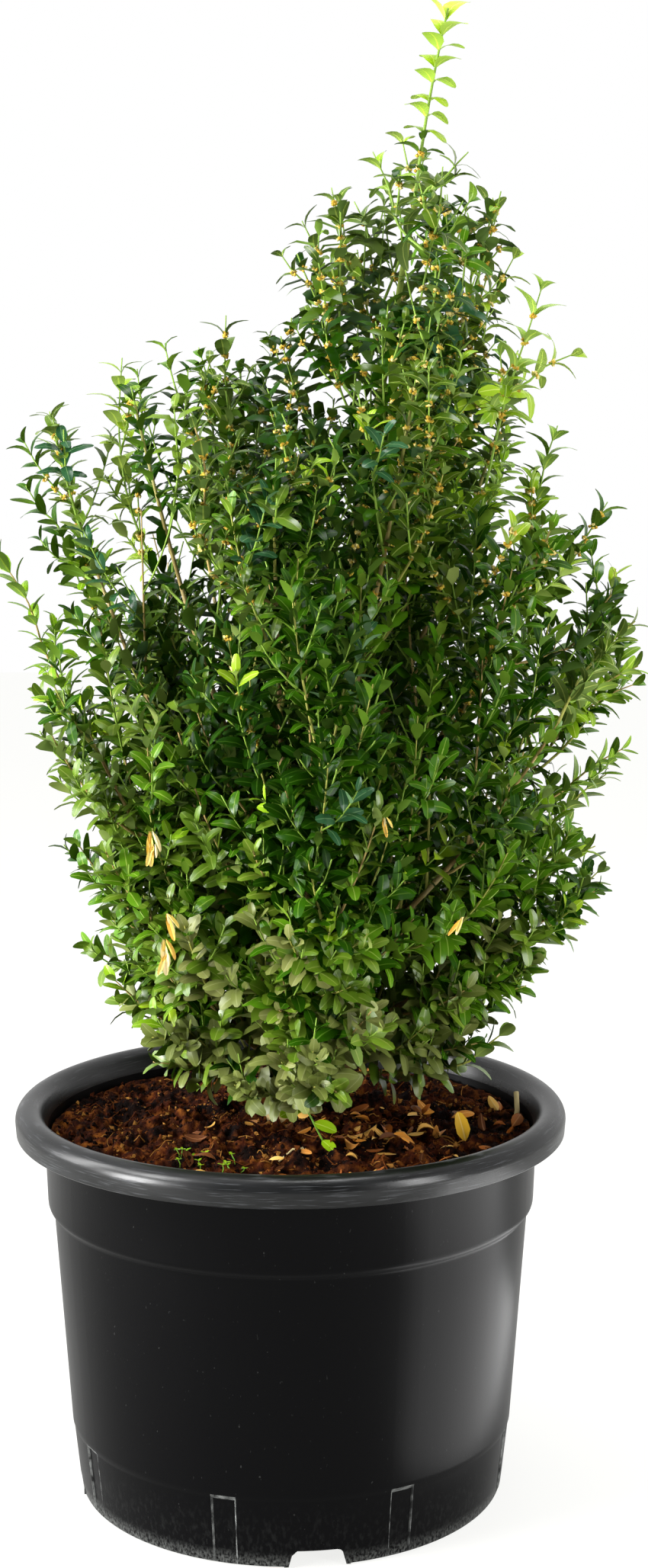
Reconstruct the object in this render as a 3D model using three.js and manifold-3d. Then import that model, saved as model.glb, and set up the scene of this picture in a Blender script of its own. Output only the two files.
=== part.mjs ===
// A common boxwood in a black nursery pot: pot, soil, trunk, boughs and the masses of foliage they carry.
// Millimetres, +Z up. The origin is on the pot's axis, at the flat underside of its foot.
// The photograph's viewer stands on the -Y side, and +X is to that viewer's right.
import * as THREE from "three";
import { mergeVertices } from "three/addons/utils/BufferGeometryUtils.js";
import Module from "manifold-3d";

const wasm = await Module();
wasm.setup();

// Driving dimensions
const clear = 0.3; // between pieces that touch
const turnSteps = 36; // facets round the pot and the soil

const pot = {
  height: 322,
  wall: 2.8,
  floor: 3,
  footRadius: 175,
  hemHeight: 56, // the line that the recessed strips reach up to
  hemRadius: 181,
  hemStep: 0.9,
  hemSlope: 2, // the height that the hem's step takes
  bandHeight: 236, // where the collar steps out
  bandRadius: 194.5,
  bandStep: 4.6,
  bandSlope: 6,
  collarRadius: 201.6, // outside the wall, just under the rim
  rimRadius: 225,
  rimRoll: 11.5, // radius of the rolled lip
  lipDrop: 11, // how far the lip hangs below the middle of its roll
  lipLean: 0.8,
  floorBevel: 1.5,
};
const strip = { count: 8, firstAzimuth: -106, width: 17, depth: 1.2, beyond: 9 };
const arch = { count: 4, firstAzimuth: -82.6, width: 46, height: 14, slant: 3, corner: 3, innerRadius: 72 };
const drain = { ring: 120, radius: 6, sides: 6, depth: 20 };

const soil = {
  level: 298,
  edgeDrop: 4,
  rings: [194, 176, 158, 141, 124, 107, 91, 75, 60, 45, 30],
  footX: -6, // where the trunk leaves it
  footFlat: 38,
  footSlope: 14, // how far past the flat its lumps reach their full height
  mound: 8,
  moundReach: 150,
  rimReach: 190,
  lump: 4.2,
};

const trunk = {
  footRadius: 10,
  topRadius: 1.9,
  flareRadius: 17,
  flareHeight: 9,
  thinning: 0.7, // below 1 it thins sooner near the foot
  sides: 8,
  steps: 10,
  crowding: 1.25, // its rings stand closer together at the foot
  // control points of its bend: foot, two pulls and the top
  bend: [
    [-6, 0, 306],
    [-2, 8, 560],
    [58, -10, 800],
    [98, 2, 1040],
  ],
};

// The crown's outline from the front: its left and right edges at a few heights
const outline = [
  { z: 325, left: -100, right: 120 },
  { z: 400, left: -138, right: 174 },
  { z: 500, left: -158, right: 240 },
  { z: 600, left: -190, right: 264 },
  { z: 690, left: -208, right: 278 },
  { z: 780, left: -232, right: 250 },
  { z: 860, left: -198, right: 220 },
  { z: 940, left: -124, right: 218 },
  { z: 1000, left: -18, right: 186 },
  { z: 1060, left: 40, right: 166 },
  { z: 1120, left: 88, right: 142 },
  { z: 1192, left: 104, right: 142 },
];
const deepness = 0.92; // the crown from front to back, as a share of its width
const overhang = 13; // how far a leaf's tip may stand out of that outline

// Each tier is a ring of limbs that end inside the outline at tipZ and leave the trunk from rootZ up
const tiers = [
  { name: "skirt", count: 4, first: 264, tipZ: 384, inset: 30, rootZ: 322, rootRise: 5 },
  { name: "low", count: 5, first: 200, tipZ: 486, inset: 28, rootZ: 345, rootRise: 6 },
  { name: "mid", count: 6, first: 202, tipZ: 640, inset: 26, rootZ: 380, rootRise: 7 },
  { name: "high", count: 5, first: 187, tipZ: 800, inset: 26, rootZ: 428, rootRise: 8 },
  { name: "shoulder", count: 4, first: 206, tipZ: 912, inset: 26, rootZ: 480, rootRise: 12 },
  { name: "crest", count: 4, first: 196, tipZ: 1036, inset: 12, rootZ: 690, rootRise: 20 },
];
// The share of a tier's limbs that is bare bough, how far its masses spread and how full their cores are
const fullnesses = {
  skirt: { split: 0.16, spread: 74, core: 0.66 },
  low: { split: 0.22, spread: 92, core: 0.66 },
  mid: { split: 0.26, spread: 96, core: 0.64 },
  high: { split: 0.3, spread: 92, core: 0.54 },
  shoulder: { split: 0.32, spread: 84, core: 0.44 },
  crest: { split: 0, spread: 72, core: 0.42 },
};
const leader = {
  name: "leader",
  tip: [123, -2, 1160],
  bendX: 108,
  azimuth: 30,
  spread: 30,
  leafSize: 0.62,
  pairs: [0.3, 0.55, 0.78, 0.98],
};
const vary = { azimuth: 9, height: 30, reach: 10 }; // how far a limb strays from its tier's ring

const limb = { rootRadius: 3.8, endRadius: 2, sides: 5, steps: 5, elbowOut: 0.6, elbowUp: 0.42 };
const stem = { radius: 2, tipRadius: 1.3, sides: 3, steps: 3, lastPair: 0.98 };
const core = {
  sides: 5,
  shares: [0.06, 0.34, 0.66, 0.92], // where along the stem its rings stand
  fullness: [0.45, 1, 0.85, 0.3], // how wide each ring is
  least: 3,
  offSoil: 16,
};
const shoot = {
  count: 4,
  first: 0.06, // shares of the stem that they leave from
  last: 0.92,
  radius: 2.2,
  taper: 0.8,
  sides: 4,
  steps: 2,
  openFoot: 50, // degrees from the stem
  openTip: 22,
  sway: 23,
  vary: 0.16,
  longest: 1.05, // shares of the mass's spread
  least: 0.62,
  lift: 0.3, // how far a shoot's tip turns up, as a share of its length
  shortest: 26,
};
const leaf = {
  length: 54,
  width: 26,
  thick: 1.9,
  arch: 5,
  droop: 0.6,
  widest: 0.52,
  sunk: 0.3,
  vary: 0.14,
  openFoot: 62, // degrees from the twig
  openTip: 34,
  pairs: [0.46, 0.96],
  spacing: 22,
};
const cover = { count: 14, sunk: 0.86, open: 34 }; // leaves that stand straight out of the core
const bud = { radius: 4.6, lowest: 860, places: [0.55, 0.97], out: 0.55 };
const apart = 2.6; // kept between the spaces of two masses
const overSoil = 5; // how far leaves stay off the soil
const overRim = 8; // and off the pot's rim
const insideRim = 182;
const lineSteps = 20; // straight steps that a limb's middle line is measured by
const goldenAngle = 137.5;
const seed = 4.2;
// What each seeded number is drawn for
const salts = {
  azimuth: 1,
  reach: 2,
  height: 3,
  turn: 10,
  length: 30,
  twigLeaf: 50,
  coverLeaf: 70,
  stemLeaf: 90,
};
const grid = 1e-3; // the corners' fine grid
const crossing = 0.05; // cubic millimetres that two leaves may share at their roots

// Small mathematics
const vec = (x, y, z) => new THREE.Vector3(x, y, z);
const rad = THREE.MathUtils.degToRad;
const mix = THREE.MathUtils.lerp;
const smooth = THREE.MathUtils.smoothstep;
const upTo = (steps) => Array.from({ length: steps + 1 }, (_, k) => k / steps); // shares from 0 to 1

// A seeded number from 0 to 1 for a pair of whole numbers
function chance(index, salt) {
  const x = Math.sin(index * 127.1 + salt * 311.7 + seed) * 43758.5453;
  return x - Math.floor(x);
}
const around = (index, salt) => 2 * chance(index, salt) - 1;

// Solids
function solidOf(geometry, tolerance = 1e-4) {
  const bare = geometry.clone();
  bare.deleteAttribute("normal");
  bare.deleteAttribute("uv");
  const merged = mergeVertices(bare, tolerance);
  const corners = merged.index.array;
  const kept = [];
  for (let i = 0; i < corners.length; i += 3) {
    const [a, b, c] = corners.slice(i, i + 3);
    if (a !== b && b !== c && c !== a) kept.push(a, b, c);
  }
  const mesh = new wasm.Mesh({
    numProp: 3,
    vertProperties: new Float32Array(merged.attributes.position.array),
    triVerts: new Uint32Array(kept),
  });
  return new wasm.Manifold(mesh);
}

function geometryOf(solid) {
  const mesh = solid.getMesh();
  const geometry = new THREE.BufferGeometry();
  geometry.setAttribute("position", new THREE.BufferAttribute(new Float32Array(mesh.vertProperties), 3));
  geometry.setIndex(new THREE.BufferAttribute(new Uint32Array(mesh.triVerts), 1));
  geometry.computeVertexNormals();
  return geometry;
}

const joined = (solids) => wasm.Manifold.union(solids);

// The largest closed body of a solid: loose scraps and sealed hollows are dropped until none is left
function largest(solid) {
  let kept = solid;
  for (let round = 0; round < 12; round++) {
    const bodies = solidOf(geometryOf(kept), grid).decompose();
    const best = bodies.reduce((a, b) => (b.volume() > a.volume() ? b : a));
    const settled = bodies.length === 1 && best.numTri() === kept.numTri();
    kept = best;
    if (settled) break;
  }
  return kept;
}

function turned(profile) {
  const lathe = new THREE.LatheGeometry(
    profile.map(([r, z]) => new THREE.Vector2(r, z)),
    turnSteps,
  );
  return solidOf(lathe.rotateX(Math.PI / 2));
}

// A closed tube round a line of points, with its own radius at each
function tube(points, radii, sides) {
  const position = [];
  const index = [];
  const last = points.length - 1;
  const run = points[last].clone().sub(points[0]);
  points.forEach((point, i) => {
    const along = points[Math.min(i + 1, last)].clone().sub(points[Math.max(i - 1, 0)]).normalize();
    const [across, up] = crossways(along, run);
    for (let k = 0; k < sides; k++) {
      const angle = (2 * Math.PI * k) / sides;
      const rim = point
        .clone()
        .addScaledVector(across, radii[i] * Math.cos(angle))
        .addScaledVector(up, radii[i] * Math.sin(angle));
      position.push(rim.x, rim.y, rim.z);
    }
  });
  for (let i = 0; i < last; i++)
    for (let k = 0; k < sides; k++) {
      const a = i * sides + k;
      const b = i * sides + ((k + 1) % sides);
      index.push(a, b, b + sides, a, b + sides, a + sides);
    }
  for (let k = 1; k < sides - 1; k++) {
    index.push(0, k + 1, k);
    index.push(last * sides, last * sides + k, last * sides + k + 1);
  }
  const geometry = new THREE.BufferGeometry();
  geometry.setAttribute("position", new THREE.Float32BufferAttribute(position, 3));
  geometry.setIndex(index);
  return solidOf(geometry);
}

// Two directions square to a limb, the same way round all along its run
function crossways(along, run = along) {
  const aside = Math.abs(run.x) < Math.abs(run.y) ? vec(1, 0, 0) : vec(0, 1, 0);
  const across = aside.addScaledVector(along, -aside.dot(along)).normalize();
  return [across, along.clone().cross(across)];
}

// Curves
function bezier3(a, b, c, t) {
  const s = 1 - t;
  return a.clone().multiplyScalar(s * s).addScaledVector(b, 2 * s * t).addScaledVector(c, t * t);
}

const trunkBend = trunk.bend.map((p) => vec(...p));
function trunkPoint(t) {
  const s = 1 - t;
  const [a, b, c, d] = trunkBend;
  return a
    .clone()
    .multiplyScalar(s ** 3)
    .addScaledVector(b, 3 * s * s * t)
    .addScaledVector(c, 3 * s * t * t)
    .addScaledVector(d, t ** 3);
}
function trunkRadius(t) {
  const height = trunkPoint(t).z - trunkBend[0].z;
  const flare = (trunk.flareRadius - trunk.footRadius) * Math.exp(-height / trunk.flareHeight);
  return mix(trunk.footRadius, trunk.topRadius, t ** trunk.thinning) + flare;
}
// The share of the trunk's length at which it reaches a height
function trunkShare(z) {
  let low = 0;
  let high = 1;
  for (let i = 0; i < 30; i++) {
    const middle = (low + high) / 2;
    if (trunkPoint(middle).z < z) low = middle;
    else high = middle;
  }
  return low;
}

// The ground: level round the trunk's foot, mounded in the middle, lumpy between
function soilHeight(x, y) {
  const fromFoot = Math.hypot(x - soil.footX, y);
  const rough = smooth(fromFoot, soil.footFlat, soil.footFlat + soil.footSlope);
  const rim = 1 - smooth(Math.hypot(x, y), soil.moundReach, soil.rimReach);
  const swells = Math.sin(x * 0.061 + 1) * Math.cos(y * 0.073);
  const clods = Math.sin(x * 0.13 - y * 0.09) * Math.cos(x * 0.07 + y * 0.15);
  const mound = soil.mound * (1 - smooth(fromFoot, soil.footFlat, soil.moundReach));
  return soil.level + mound + soil.lump * (0.6 * swells + clods) * rough * rim;
}

// The outline's middle and half width at a height
function outlineAt(z) {
  const last = outline.length - 1;
  let i = 0;
  while (i < last - 1 && outline[i + 1].z < z) i++;
  const share = THREE.MathUtils.clamp((z - outline[i].z) / (outline[i + 1].z - outline[i].z), 0, 1);
  const left = mix(outline[i].left, outline[i + 1].left, share);
  const right = mix(outline[i].right, outline[i + 1].right, share);
  return { middle: (left + right) / 2, half: (right - left) / 2 };
}

// The limbs' plan: one for each mass of foliage, from the trunk to the mass's tip
function planLimbs() {
  const made = [];
  const plan = (name, azimuth, root, elbow, tip, more) => {
    const line = upTo(lineSteps).map((t) => bezier3(root, elbow, tip, t));
    made.push({ id: made.length + 1, name, azimuth, root, elbow, tip, line, leafSize: 1, ...more });
  };
  for (const { name, count, first, tipZ, inset, rootZ, rootRise } of tiers)
    for (let i = 0; i < count; i++) {
      const id = made.length + 1;
      const azimuth = rad(first + (360 * i) / count + vary.azimuth * around(id, salts.azimuth));
      const z = tipZ + vary.height * around(id, salts.height);
      const { middle, half } = outlineAt(z);
      const reach = half - inset + vary.reach * around(id, salts.reach);
      const tip = vec(middle + reach * Math.cos(azimuth), reach * Math.sin(azimuth) * deepness, z);
      const root = trunkPoint(trunkShare(rootZ + rootRise * i));
      const elbow = vec(
        mix(root.x, tip.x, limb.elbowOut),
        mix(root.y, tip.y, limb.elbowOut),
        mix(root.z, tip.z, limb.elbowUp),
      );
      plan(name + "_" + (i + 1), azimuth, root, elbow, tip, fullnesses[name]);
    }
  const root = trunkPoint(1).add(vec(0, 0, clear));
  const tip = vec(...leader.tip);
  const elbow = vec(leader.bendX, root.y, mix(root.z, tip.z, 0.5));
  const { name, azimuth, spread, leafSize } = leader;
  plan(name, rad(azimuth), root, elbow, tip, { split: 0, spread, core: 0, leafSize, top: true });
  return made;
}
const plans = planLimbs();
const limbPoint = (plan, t) => bezier3(plan.root, plan.elbow, plan.tip, t);
const limbWay = (plan, t) => limbPoint(plan, t + 0.02).sub(limbPoint(plan, t - 0.02)).normalize();
const limbRadius = (t) => mix(limb.rootRadius, limb.endRadius, t);

// Each mass keeps to the space that is nearer to its own limb than to any other
const nearest = new THREE.Vector3();
const piece = new THREE.Line3();
function distanceTo(line, point) {
  let least = Infinity;
  for (let i = 0; i < line.length - 1; i++) {
    piece.set(line[i], line[i + 1]).closestPointToPoint(point, true, nearest);
    least = Math.min(least, nearest.distanceTo(point));
  }
  return least;
}
const trunkLine = upTo(lineSteps).map(trunkPoint);

function hasRoom(plan, point) {
  if (point.z < soilHeight(point.x, point.y) + overSoil) return false;
  const { middle, half } = outlineAt(point.z);
  const wide = half + overhang;
  if (Math.hypot((point.x - middle) / wide, point.y / (wide * deepness)) > 1) return false;
  if (point.z < pot.height + overRim && Math.hypot(point.x, point.y) > insideRim) return false;
  const trunkGap = trunkRadius(trunkShare(point.z)) + apart;
  if (point.z < trunkBend[3].z + apart && distanceTo(trunkLine, point) < trunkGap) return false;
  const own = distanceTo(plan.line, point);
  return plans.every((other) => {
    if (other === plan) return true;
    const far = distanceTo(other.line, point);
    return far > own + apart && far > limb.rootRadius + apart;
  });
}

// Pot
function potSolid() {
  const { wall, rimRadius, rimRoll, height } = pot;
  const rollX = rimRadius - rimRoll;
  const rollZ = height - rimRoll;
  const arc = (radius, from, to, steps) =>
    Array.from({ length: steps + 1 }, (_, k) => {
      const angle = rad(mix(from, to, k / steps));
      return [rollX + radius * Math.cos(angle), rollZ + radius * Math.sin(angle)];
    });
  const outside = [
    [0, 0],
    [pot.footRadius, 0],
    [pot.hemRadius, pot.hemHeight],
    [pot.hemRadius + pot.hemStep, pot.hemHeight + pot.hemSlope],
    [pot.bandRadius, pot.bandHeight],
    [pot.bandRadius + pot.bandStep, pot.bandHeight + pot.bandSlope],
    [pot.collarRadius, rollZ - 4],
  ];
  const lip = [
    ...arc(rimRoll - wall, 160, 0, 3),
    [rimRadius - wall - pot.lipLean, rollZ - pot.lipDrop],
    [rimRadius - pot.lipLean, rollZ - pot.lipDrop],
    ...arc(rimRoll, 0, 150, 5),
  ];
  const inside = [
    [pot.collarRadius - wall, rollZ - 6],
    [pot.bandRadius + pot.bandStep - wall, pot.bandHeight + pot.bandSlope],
    [pot.bandRadius - wall, pot.bandHeight - 1],
    [pot.footRadius - wall, pot.floor + pot.floorBevel],
    [pot.footRadius - wall - pot.floorBevel, pot.floor],
    [0, pot.floor],
  ];
  const shell = turned([...outside, ...lip, ...inside]);
  const filled = turned([...outside, [0, rollZ - 4]]);
  const ridges = ring(arch).map((a) => archSolid(a, wall, 0));
  const tunnels = ring(arch).map((a) => archSolid(a, 0, wall * 4));
  const holes = ring(arch).map(drainSolid);
  const strips = ring(strip).map(stripSolid);
  const body = shell.add(joined(ridges).intersect(filled));
  return largest(body.subtract(joined([...tunnels, ...holes, ...strips])));
}
const ring = ({ count, firstAzimuth }) =>
  Array.from({ length: count }, (_, k) => firstAzimuth + (360 * k) / count);

// The tunnel under the floor that ends in an arch in the foot. Grown by wall, it is the ridge over it.
function archSolid(azimuth, grow, beyond) {
  const half = arch.width / 2 + grow;
  const top = arch.height + grow;
  const bottom = grow > 0 ? 0.5 : -1;
  const shape = new THREE.Shape();
  shape.moveTo(-half, bottom);
  shape.lineTo(half, bottom);
  shape.lineTo(half - arch.slant, top - arch.corner);
  shape.lineTo(half - arch.slant - arch.corner, top);
  shape.lineTo(-half + arch.slant + arch.corner, top);
  shape.lineTo(-half + arch.slant, top - arch.corner);
  shape.closePath();
  const inner = arch.innerRadius - grow;
  const length = pot.footRadius + beyond - inner;
  const prism = new THREE.ExtrudeGeometry(shape, { depth: length, bevelEnabled: false });
  prism.rotateX(Math.PI / 2).translate(0, inner + length, 0).rotateZ(rad(azimuth - 90));
  return solidOf(prism);
}

function drainSolid(azimuth) {
  const hole = new THREE.CylinderGeometry(drain.radius, drain.radius, drain.depth, drain.sides);
  hole.rotateX(Math.PI / 2).translate(drain.ring, 0, arch.height).rotateZ(rad(azimuth));
  return solidOf(hole);
}

// A shallow upright recess in the foot of the wall
function stripSolid(azimuth) {
  const shape = new THREE.Shape();
  shape.moveTo(pot.footRadius - strip.depth, -1);
  shape.lineTo(pot.footRadius + strip.beyond, -1);
  shape.lineTo(pot.hemRadius + strip.beyond, pot.hemHeight);
  shape.lineTo(pot.hemRadius - strip.depth, pot.hemHeight);
  shape.closePath();
  const prism = new THREE.ExtrudeGeometry(shape, { depth: strip.width, bevelEnabled: false });
  prism.rotateX(Math.PI / 2).translate(0, strip.width / 2, 0).rotateZ(rad(azimuth));
  return solidOf(prism);
}

// Soil, which fills the pot
function soilSolid() {
  const gap = pot.wall + clear;
  const side = [
    [0, pot.floor + clear],
    [pot.footRadius - gap - pot.floorBevel, pot.floor + clear],
    [pot.bandRadius - gap, pot.bandHeight - 1],
    [pot.collarRadius - gap - 1, soil.level - soil.edgeDrop],
  ];
  const top = soil.rings.map((r) => [r, soil.level]);
  const lathe = new THREE.LatheGeometry(
    [...side, ...top, [0, soil.level]].map(([r, z]) => new THREE.Vector2(r, z)),
    turnSteps,
  );
  lathe.rotateX(Math.PI / 2);
  const place = lathe.attributes.position;
  for (let i = 0; i < place.count; i++) {
    if (place.getZ(i) < soil.level - 0.01) continue;
    place.setZ(i, soilHeight(place.getX(i), place.getY(i)));
  }
  const ridges = ring(arch).map((a) => archSolid(a, pot.wall + clear, 0));
  return solidOf(lathe).subtract(joined(ridges));
}

// Trunk. Grown by the clearance, it is what the boughs and masses are cut with.
function trunkSolid(grow) {
  const shares = upTo(trunk.steps).map((u) => u ** trunk.crowding);
  const points = shares.map(trunkPoint);
  const radii = shares.map((t) => trunkRadius(t) + grow);
  if (grow > 0) points[trunk.steps].z += grow;
  const made = tube(points, radii, trunk.sides);
  return grow > 0 ? made : made.trimByPlane([0, 0, 1], trunkBend[0].z + clear);
}

// Bough: the bare share of a limb, with what lies inside the trunk cut away
function boughSolid(plan, grownTrunk) {
  const shares = upTo(limb.steps).map((u) => plan.split * u);
  const points = shares.map((t) => limbPoint(plan, t));
  return largest(tube(points, shares.map(limbRadius), limb.sides).subtract(grownTrunk));
}

// The way that leans out from a run by an angle, and the level line across it
function leaning(along, run, turn, open) {
  const [across, up] = crossways(along, run);
  const out = across.multiplyScalar(Math.cos(turn)).addScaledVector(up, Math.sin(turn));
  const way = along.clone().multiplyScalar(Math.cos(open)).addScaledVector(out, Math.sin(open));
  return { out, way, level: along.clone().cross(out).normalize() };
}

// One leaf of six faces, its root inside what carries it: a keeled blade that droops towards its tip
function leafSolid(root, way, level, size) {
  const length = leaf.length * size;
  const half = (leaf.width * size) / 2;
  const rise = leaf.arch * size;
  const over = way.clone().cross(level).normalize();
  const at = (a, b, c) =>
    root.clone().addScaledVector(way, a).addScaledVector(level, b).addScaledVector(over, c);
  const corners = [
    at(-leaf.sunk, 0, 0),
    at(length * leaf.widest, half, rise),
    at(length, 0, -rise * leaf.droop),
    at(length * leaf.widest, -half, rise),
    at(length * leaf.widest * 0.9, 0, rise + leaf.thick),
  ];
  const faces = [1, 0, 4, 2, 1, 4, 3, 2, 4, 0, 3, 4, 0, 1, 3, 1, 2, 3];
  const geometry = new THREE.BufferGeometry();
  const flat = corners.flatMap((p) => p.toArray());
  geometry.setAttribute("position", new THREE.Float32BufferAttribute(flat, 3));
  geometry.setIndex(faces);
  const shoulders = [corners[1].clone().lerp(corners[2], 0.5), corners[3].clone().lerp(corners[2], 0.5)];
  return { solid: solidOf(geometry), samples: [...corners.slice(1), ...shoulders] };
}

function budSolid(place) {
  return solidOf(new THREE.OctahedronGeometry(bud.radius).translate(place.x, place.y, place.z));
}

// The shoots that leave a mass's stem, turned by the golden angle from one to the next
function planShoots(plan) {
  return Array.from({ length: shoot.count }, (_, order) => {
    const u = (order + 0.6) / shoot.count;
    const t = mix(plan.split, 1, mix(shoot.first, shoot.last, u));
    const sway = shoot.sway * around(plan.id, salts.turn + order);
    const turn = rad(goldenAngle * order + sway) + plan.azimuth;
    const along = limbWay(plan, t);
    const { way } = leaning(along, along, turn, rad(mix(shoot.openFoot, shoot.openTip, u)));
    const varied = 1 + shoot.vary * around(plan.id, salts.length + order);
    const length = plan.spread * mix(shoot.longest, shoot.least, u) * varied;
    return { order, from: limbPoint(plan, t), way, length };
  });
}
function shootPoint({ from, way, length }, t) {
  const half = from.clone().addScaledVector(way, length / 2);
  const end = from.clone().addScaledVector(way, length * (1 - shoot.lift / 2));
  end.z += length * shoot.lift;
  return bezier3(from, half, end, t);
}

// A dense mass's core: a spindle round its stem, as wide as its space lets it be
function planCore(plan) {
  const points = core.shares.map((u) => limbPoint(plan, mix(plan.split, 1, u)));
  const radii = points.map((point, k) => {
    const { middle, half } = outlineAt(point.z);
    const edge = half - Math.hypot(point.x - middle, point.y / deepness) - leaf.length / 2;
    const lines = plans.filter((other) => other !== plan).map((other) => other.line);
    const halfways = [...lines, trunkLine].map((line) => distanceTo(line, point) / 2);
    const room = Math.min(edge, point.z - soil.level - core.offSoil, ...halfways) - apart;
    return Math.max(core.least, Math.min(plan.spread * plan.core * core.fullness[k], room));
  });
  const radiusAt = (u) => {
    const i = core.shares.findIndex((share) => share >= u) - 1;
    const from = core.shares[i];
    return mix(radii[i], radii[i + 1], (u - from) / (core.shares[i + 1] - from));
  };
  return { points, radii, radiusAt };
}

// Mass of foliage: stem and core, then shoots with leaves in pairs, leaves on the core and buds
function massSolid(plan, grownTrunk, limbs) {
  const spindle = planCore(plan);
  const body = [stemSolid(plan)];
  if (plan.core > 0) body.push(tube(spindle.points, spindle.radii, core.sides));
  const heart = plan.split > 0 || plan.top ? joined(body) : largest(joined(body).subtract(grownTrunk));
  const made = [heart];

  // Something that would leave the mass's space, touch a limb or cross another leaf is skipped
  const clearOfLimbs = (solid) => limbs.every((other) => other.intersect(solid).isEmpty());
  const put = (carrier, solid, samples) => {
    const crosses = (other) => other !== carrier && other.intersect(solid).volume() > crossing;
    if (made.some(crosses) || !samples.every((p) => hasRoom(plan, p)) || !clearOfLimbs(solid)) return;
    made.push(solid);
  };
  const putLeaf = (carrier, root, lean, salt) => {
    const size = plan.leafSize * (1 + leaf.vary * around(plan.id, salt));
    const { solid, samples } = leafSolid(root, lean.way, lean.level, size);
    put(carrier, solid, samples);
  };
  // Leaves stand in pairs, each pair square to the one before, over the faces of a four-sided twig
  const putPairs = (carrier, pointAt, run, shares, salt) => {
    shares.forEach((t, k) => {
      const root = pointAt(t);
      const along = pointAt(Math.min(1, t + 0.03)).sub(pointAt(t - 0.03)).normalize();
      for (const side of [45, 225]) {
        const open = rad(mix(leaf.openFoot, leaf.openTip, t));
        putLeaf(carrier, root, leaning(along, run, rad(side + 90 * k), open), salt + k);
      }
    });
  };

  const stemRun = plan.tip.clone().sub(limbPoint(plan, plan.split));
  const onStem = (plan.top ? leader.pairs : [stem.lastPair]).map((u) => mix(plan.split, 1, u));
  putPairs(heart, (t) => limbPoint(plan, t), stemRun, onStem, salts.stemLeaf);

  for (const branch of planShoots(plan)) {
    let reach = 1;
    while (reach > 0.2 && !hasRoom(plan, shootPoint(branch, reach))) reach -= 0.1;
    if (branch.length * reach < shoot.shortest) continue;
    const shares = upTo(shoot.steps).map((u) => reach * u);
    const points = shares.map((t) => shootPoint(branch, t));
    const radii = shares.map((t) => shoot.radius * mix(1, shoot.taper, t));
    const twig = tube(points, radii, shoot.sides);
    if (!clearOfLimbs(twig)) continue;
    made.push(twig);
    const pairs = branch.length * reach > 2 * leaf.spacing ? leaf.pairs : leaf.pairs.slice(-1);
    const run = points[shoot.steps].clone().sub(points[0]);
    const places = pairs.map((u) => reach * u);
    putPairs(twig, (t) => shootPoint(branch, t), run, places, salts.twigLeaf + 5 * branch.order);
  }

  for (let j = 0; plan.core > 0 && j < cover.count; j++) {
    const u = mix(core.shares[0], core.shares.at(-1), (j + 0.5) / cover.count);
    const t = mix(plan.split, 1, u);
    const along = limbWay(plan, t);
    const lean = leaning(along, along, rad(goldenAngle * (j + 0.5)) + plan.azimuth, rad(cover.open));
    const root = limbPoint(plan, t).addScaledVector(lean.out, spindle.radiusAt(u) * cover.sunk);
    putLeaf(heart, root, lean, salts.coverLeaf + j);
  }

  if (plan.tip.z > bud.lowest)
    for (const u of bud.places) {
      const t = mix(plan.split, 1, u);
      const side = crossways(limbWay(plan, t), stemRun)[0];
      const place = limbPoint(plan, t).addScaledVector(side, bud.radius * bud.out);
      put(heart, budSolid(place), [place]);
    }
  return largest(joined(made));
}

// A mass's stem starts clear of its bough's tip, or inside the trunk where it has no bough
function stemSolid(plan) {
  const shares = upTo(stem.steps).map((u) => mix(plan.split, 1, u));
  const points = shares.map((t) => limbPoint(plan, t));
  if (plan.split > 0) points[0].addScaledVector(limbWay(plan, plan.split), clear);
  const radii = upTo(stem.steps).map((u) => mix(stem.radius, stem.tipRadius, u));
  return tube(points, radii, stem.sides);
}

// Assembly
const looks = {
  pot: new THREE.MeshStandardMaterial({ color: 0x1b1c1e, roughness: 0.42, metalness: 0 }),
  soil: new THREE.MeshStandardMaterial({ color: 0x3a2116, roughness: 1, metalness: 0 }),
  bark: new THREE.MeshStandardMaterial({ color: 0x8a7448, roughness: 0.85, metalness: 0 }),
  foliage: new THREE.MeshStandardMaterial({ color: 0x3f7a22, roughness: 0.5, metalness: 0 }),
  freshFoliage: new THREE.MeshStandardMaterial({ color: 0x9bd21f, roughness: 0.5, metalness: 0 }),
};

const plant = new THREE.Group();
function add(name, solid, look) {
  const mesh = new THREE.Mesh(geometryOf(solid), look);
  mesh.name = name;
  plant.add(mesh);
}

add("pot", potSolid(), looks.pot);
add("soil", soilSolid(), looks.soil);
add("trunk", trunkSolid(0), looks.bark);
const grownTrunk = trunkSolid(clear);
const limbs = [grownTrunk];
for (const plan of plans) {
  if (plan.split === 0) continue;
  const bough = boughSolid(plan, grownTrunk);
  limbs.push(bough);
  add("bough_" + plan.name, bough, looks.bark);
}
for (const plan of plans) {
  const look = plan.top ? looks.freshFoliage : looks.foliage;
  add("foliage_" + plan.name, massSolid(plan, grownTrunk, limbs), look);
}

export default plant;
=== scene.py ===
# Potted common boxwood: black nursery pot, damp peat, a leaning trunk and sprays of small leaves in pairs
# Metres, +Z up, the origin under the middle of the pot. The camera looks along +Y.
import math
import bpy
import numpy as np
from mathutils import Matrix, Quaternion, Vector, noise


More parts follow.
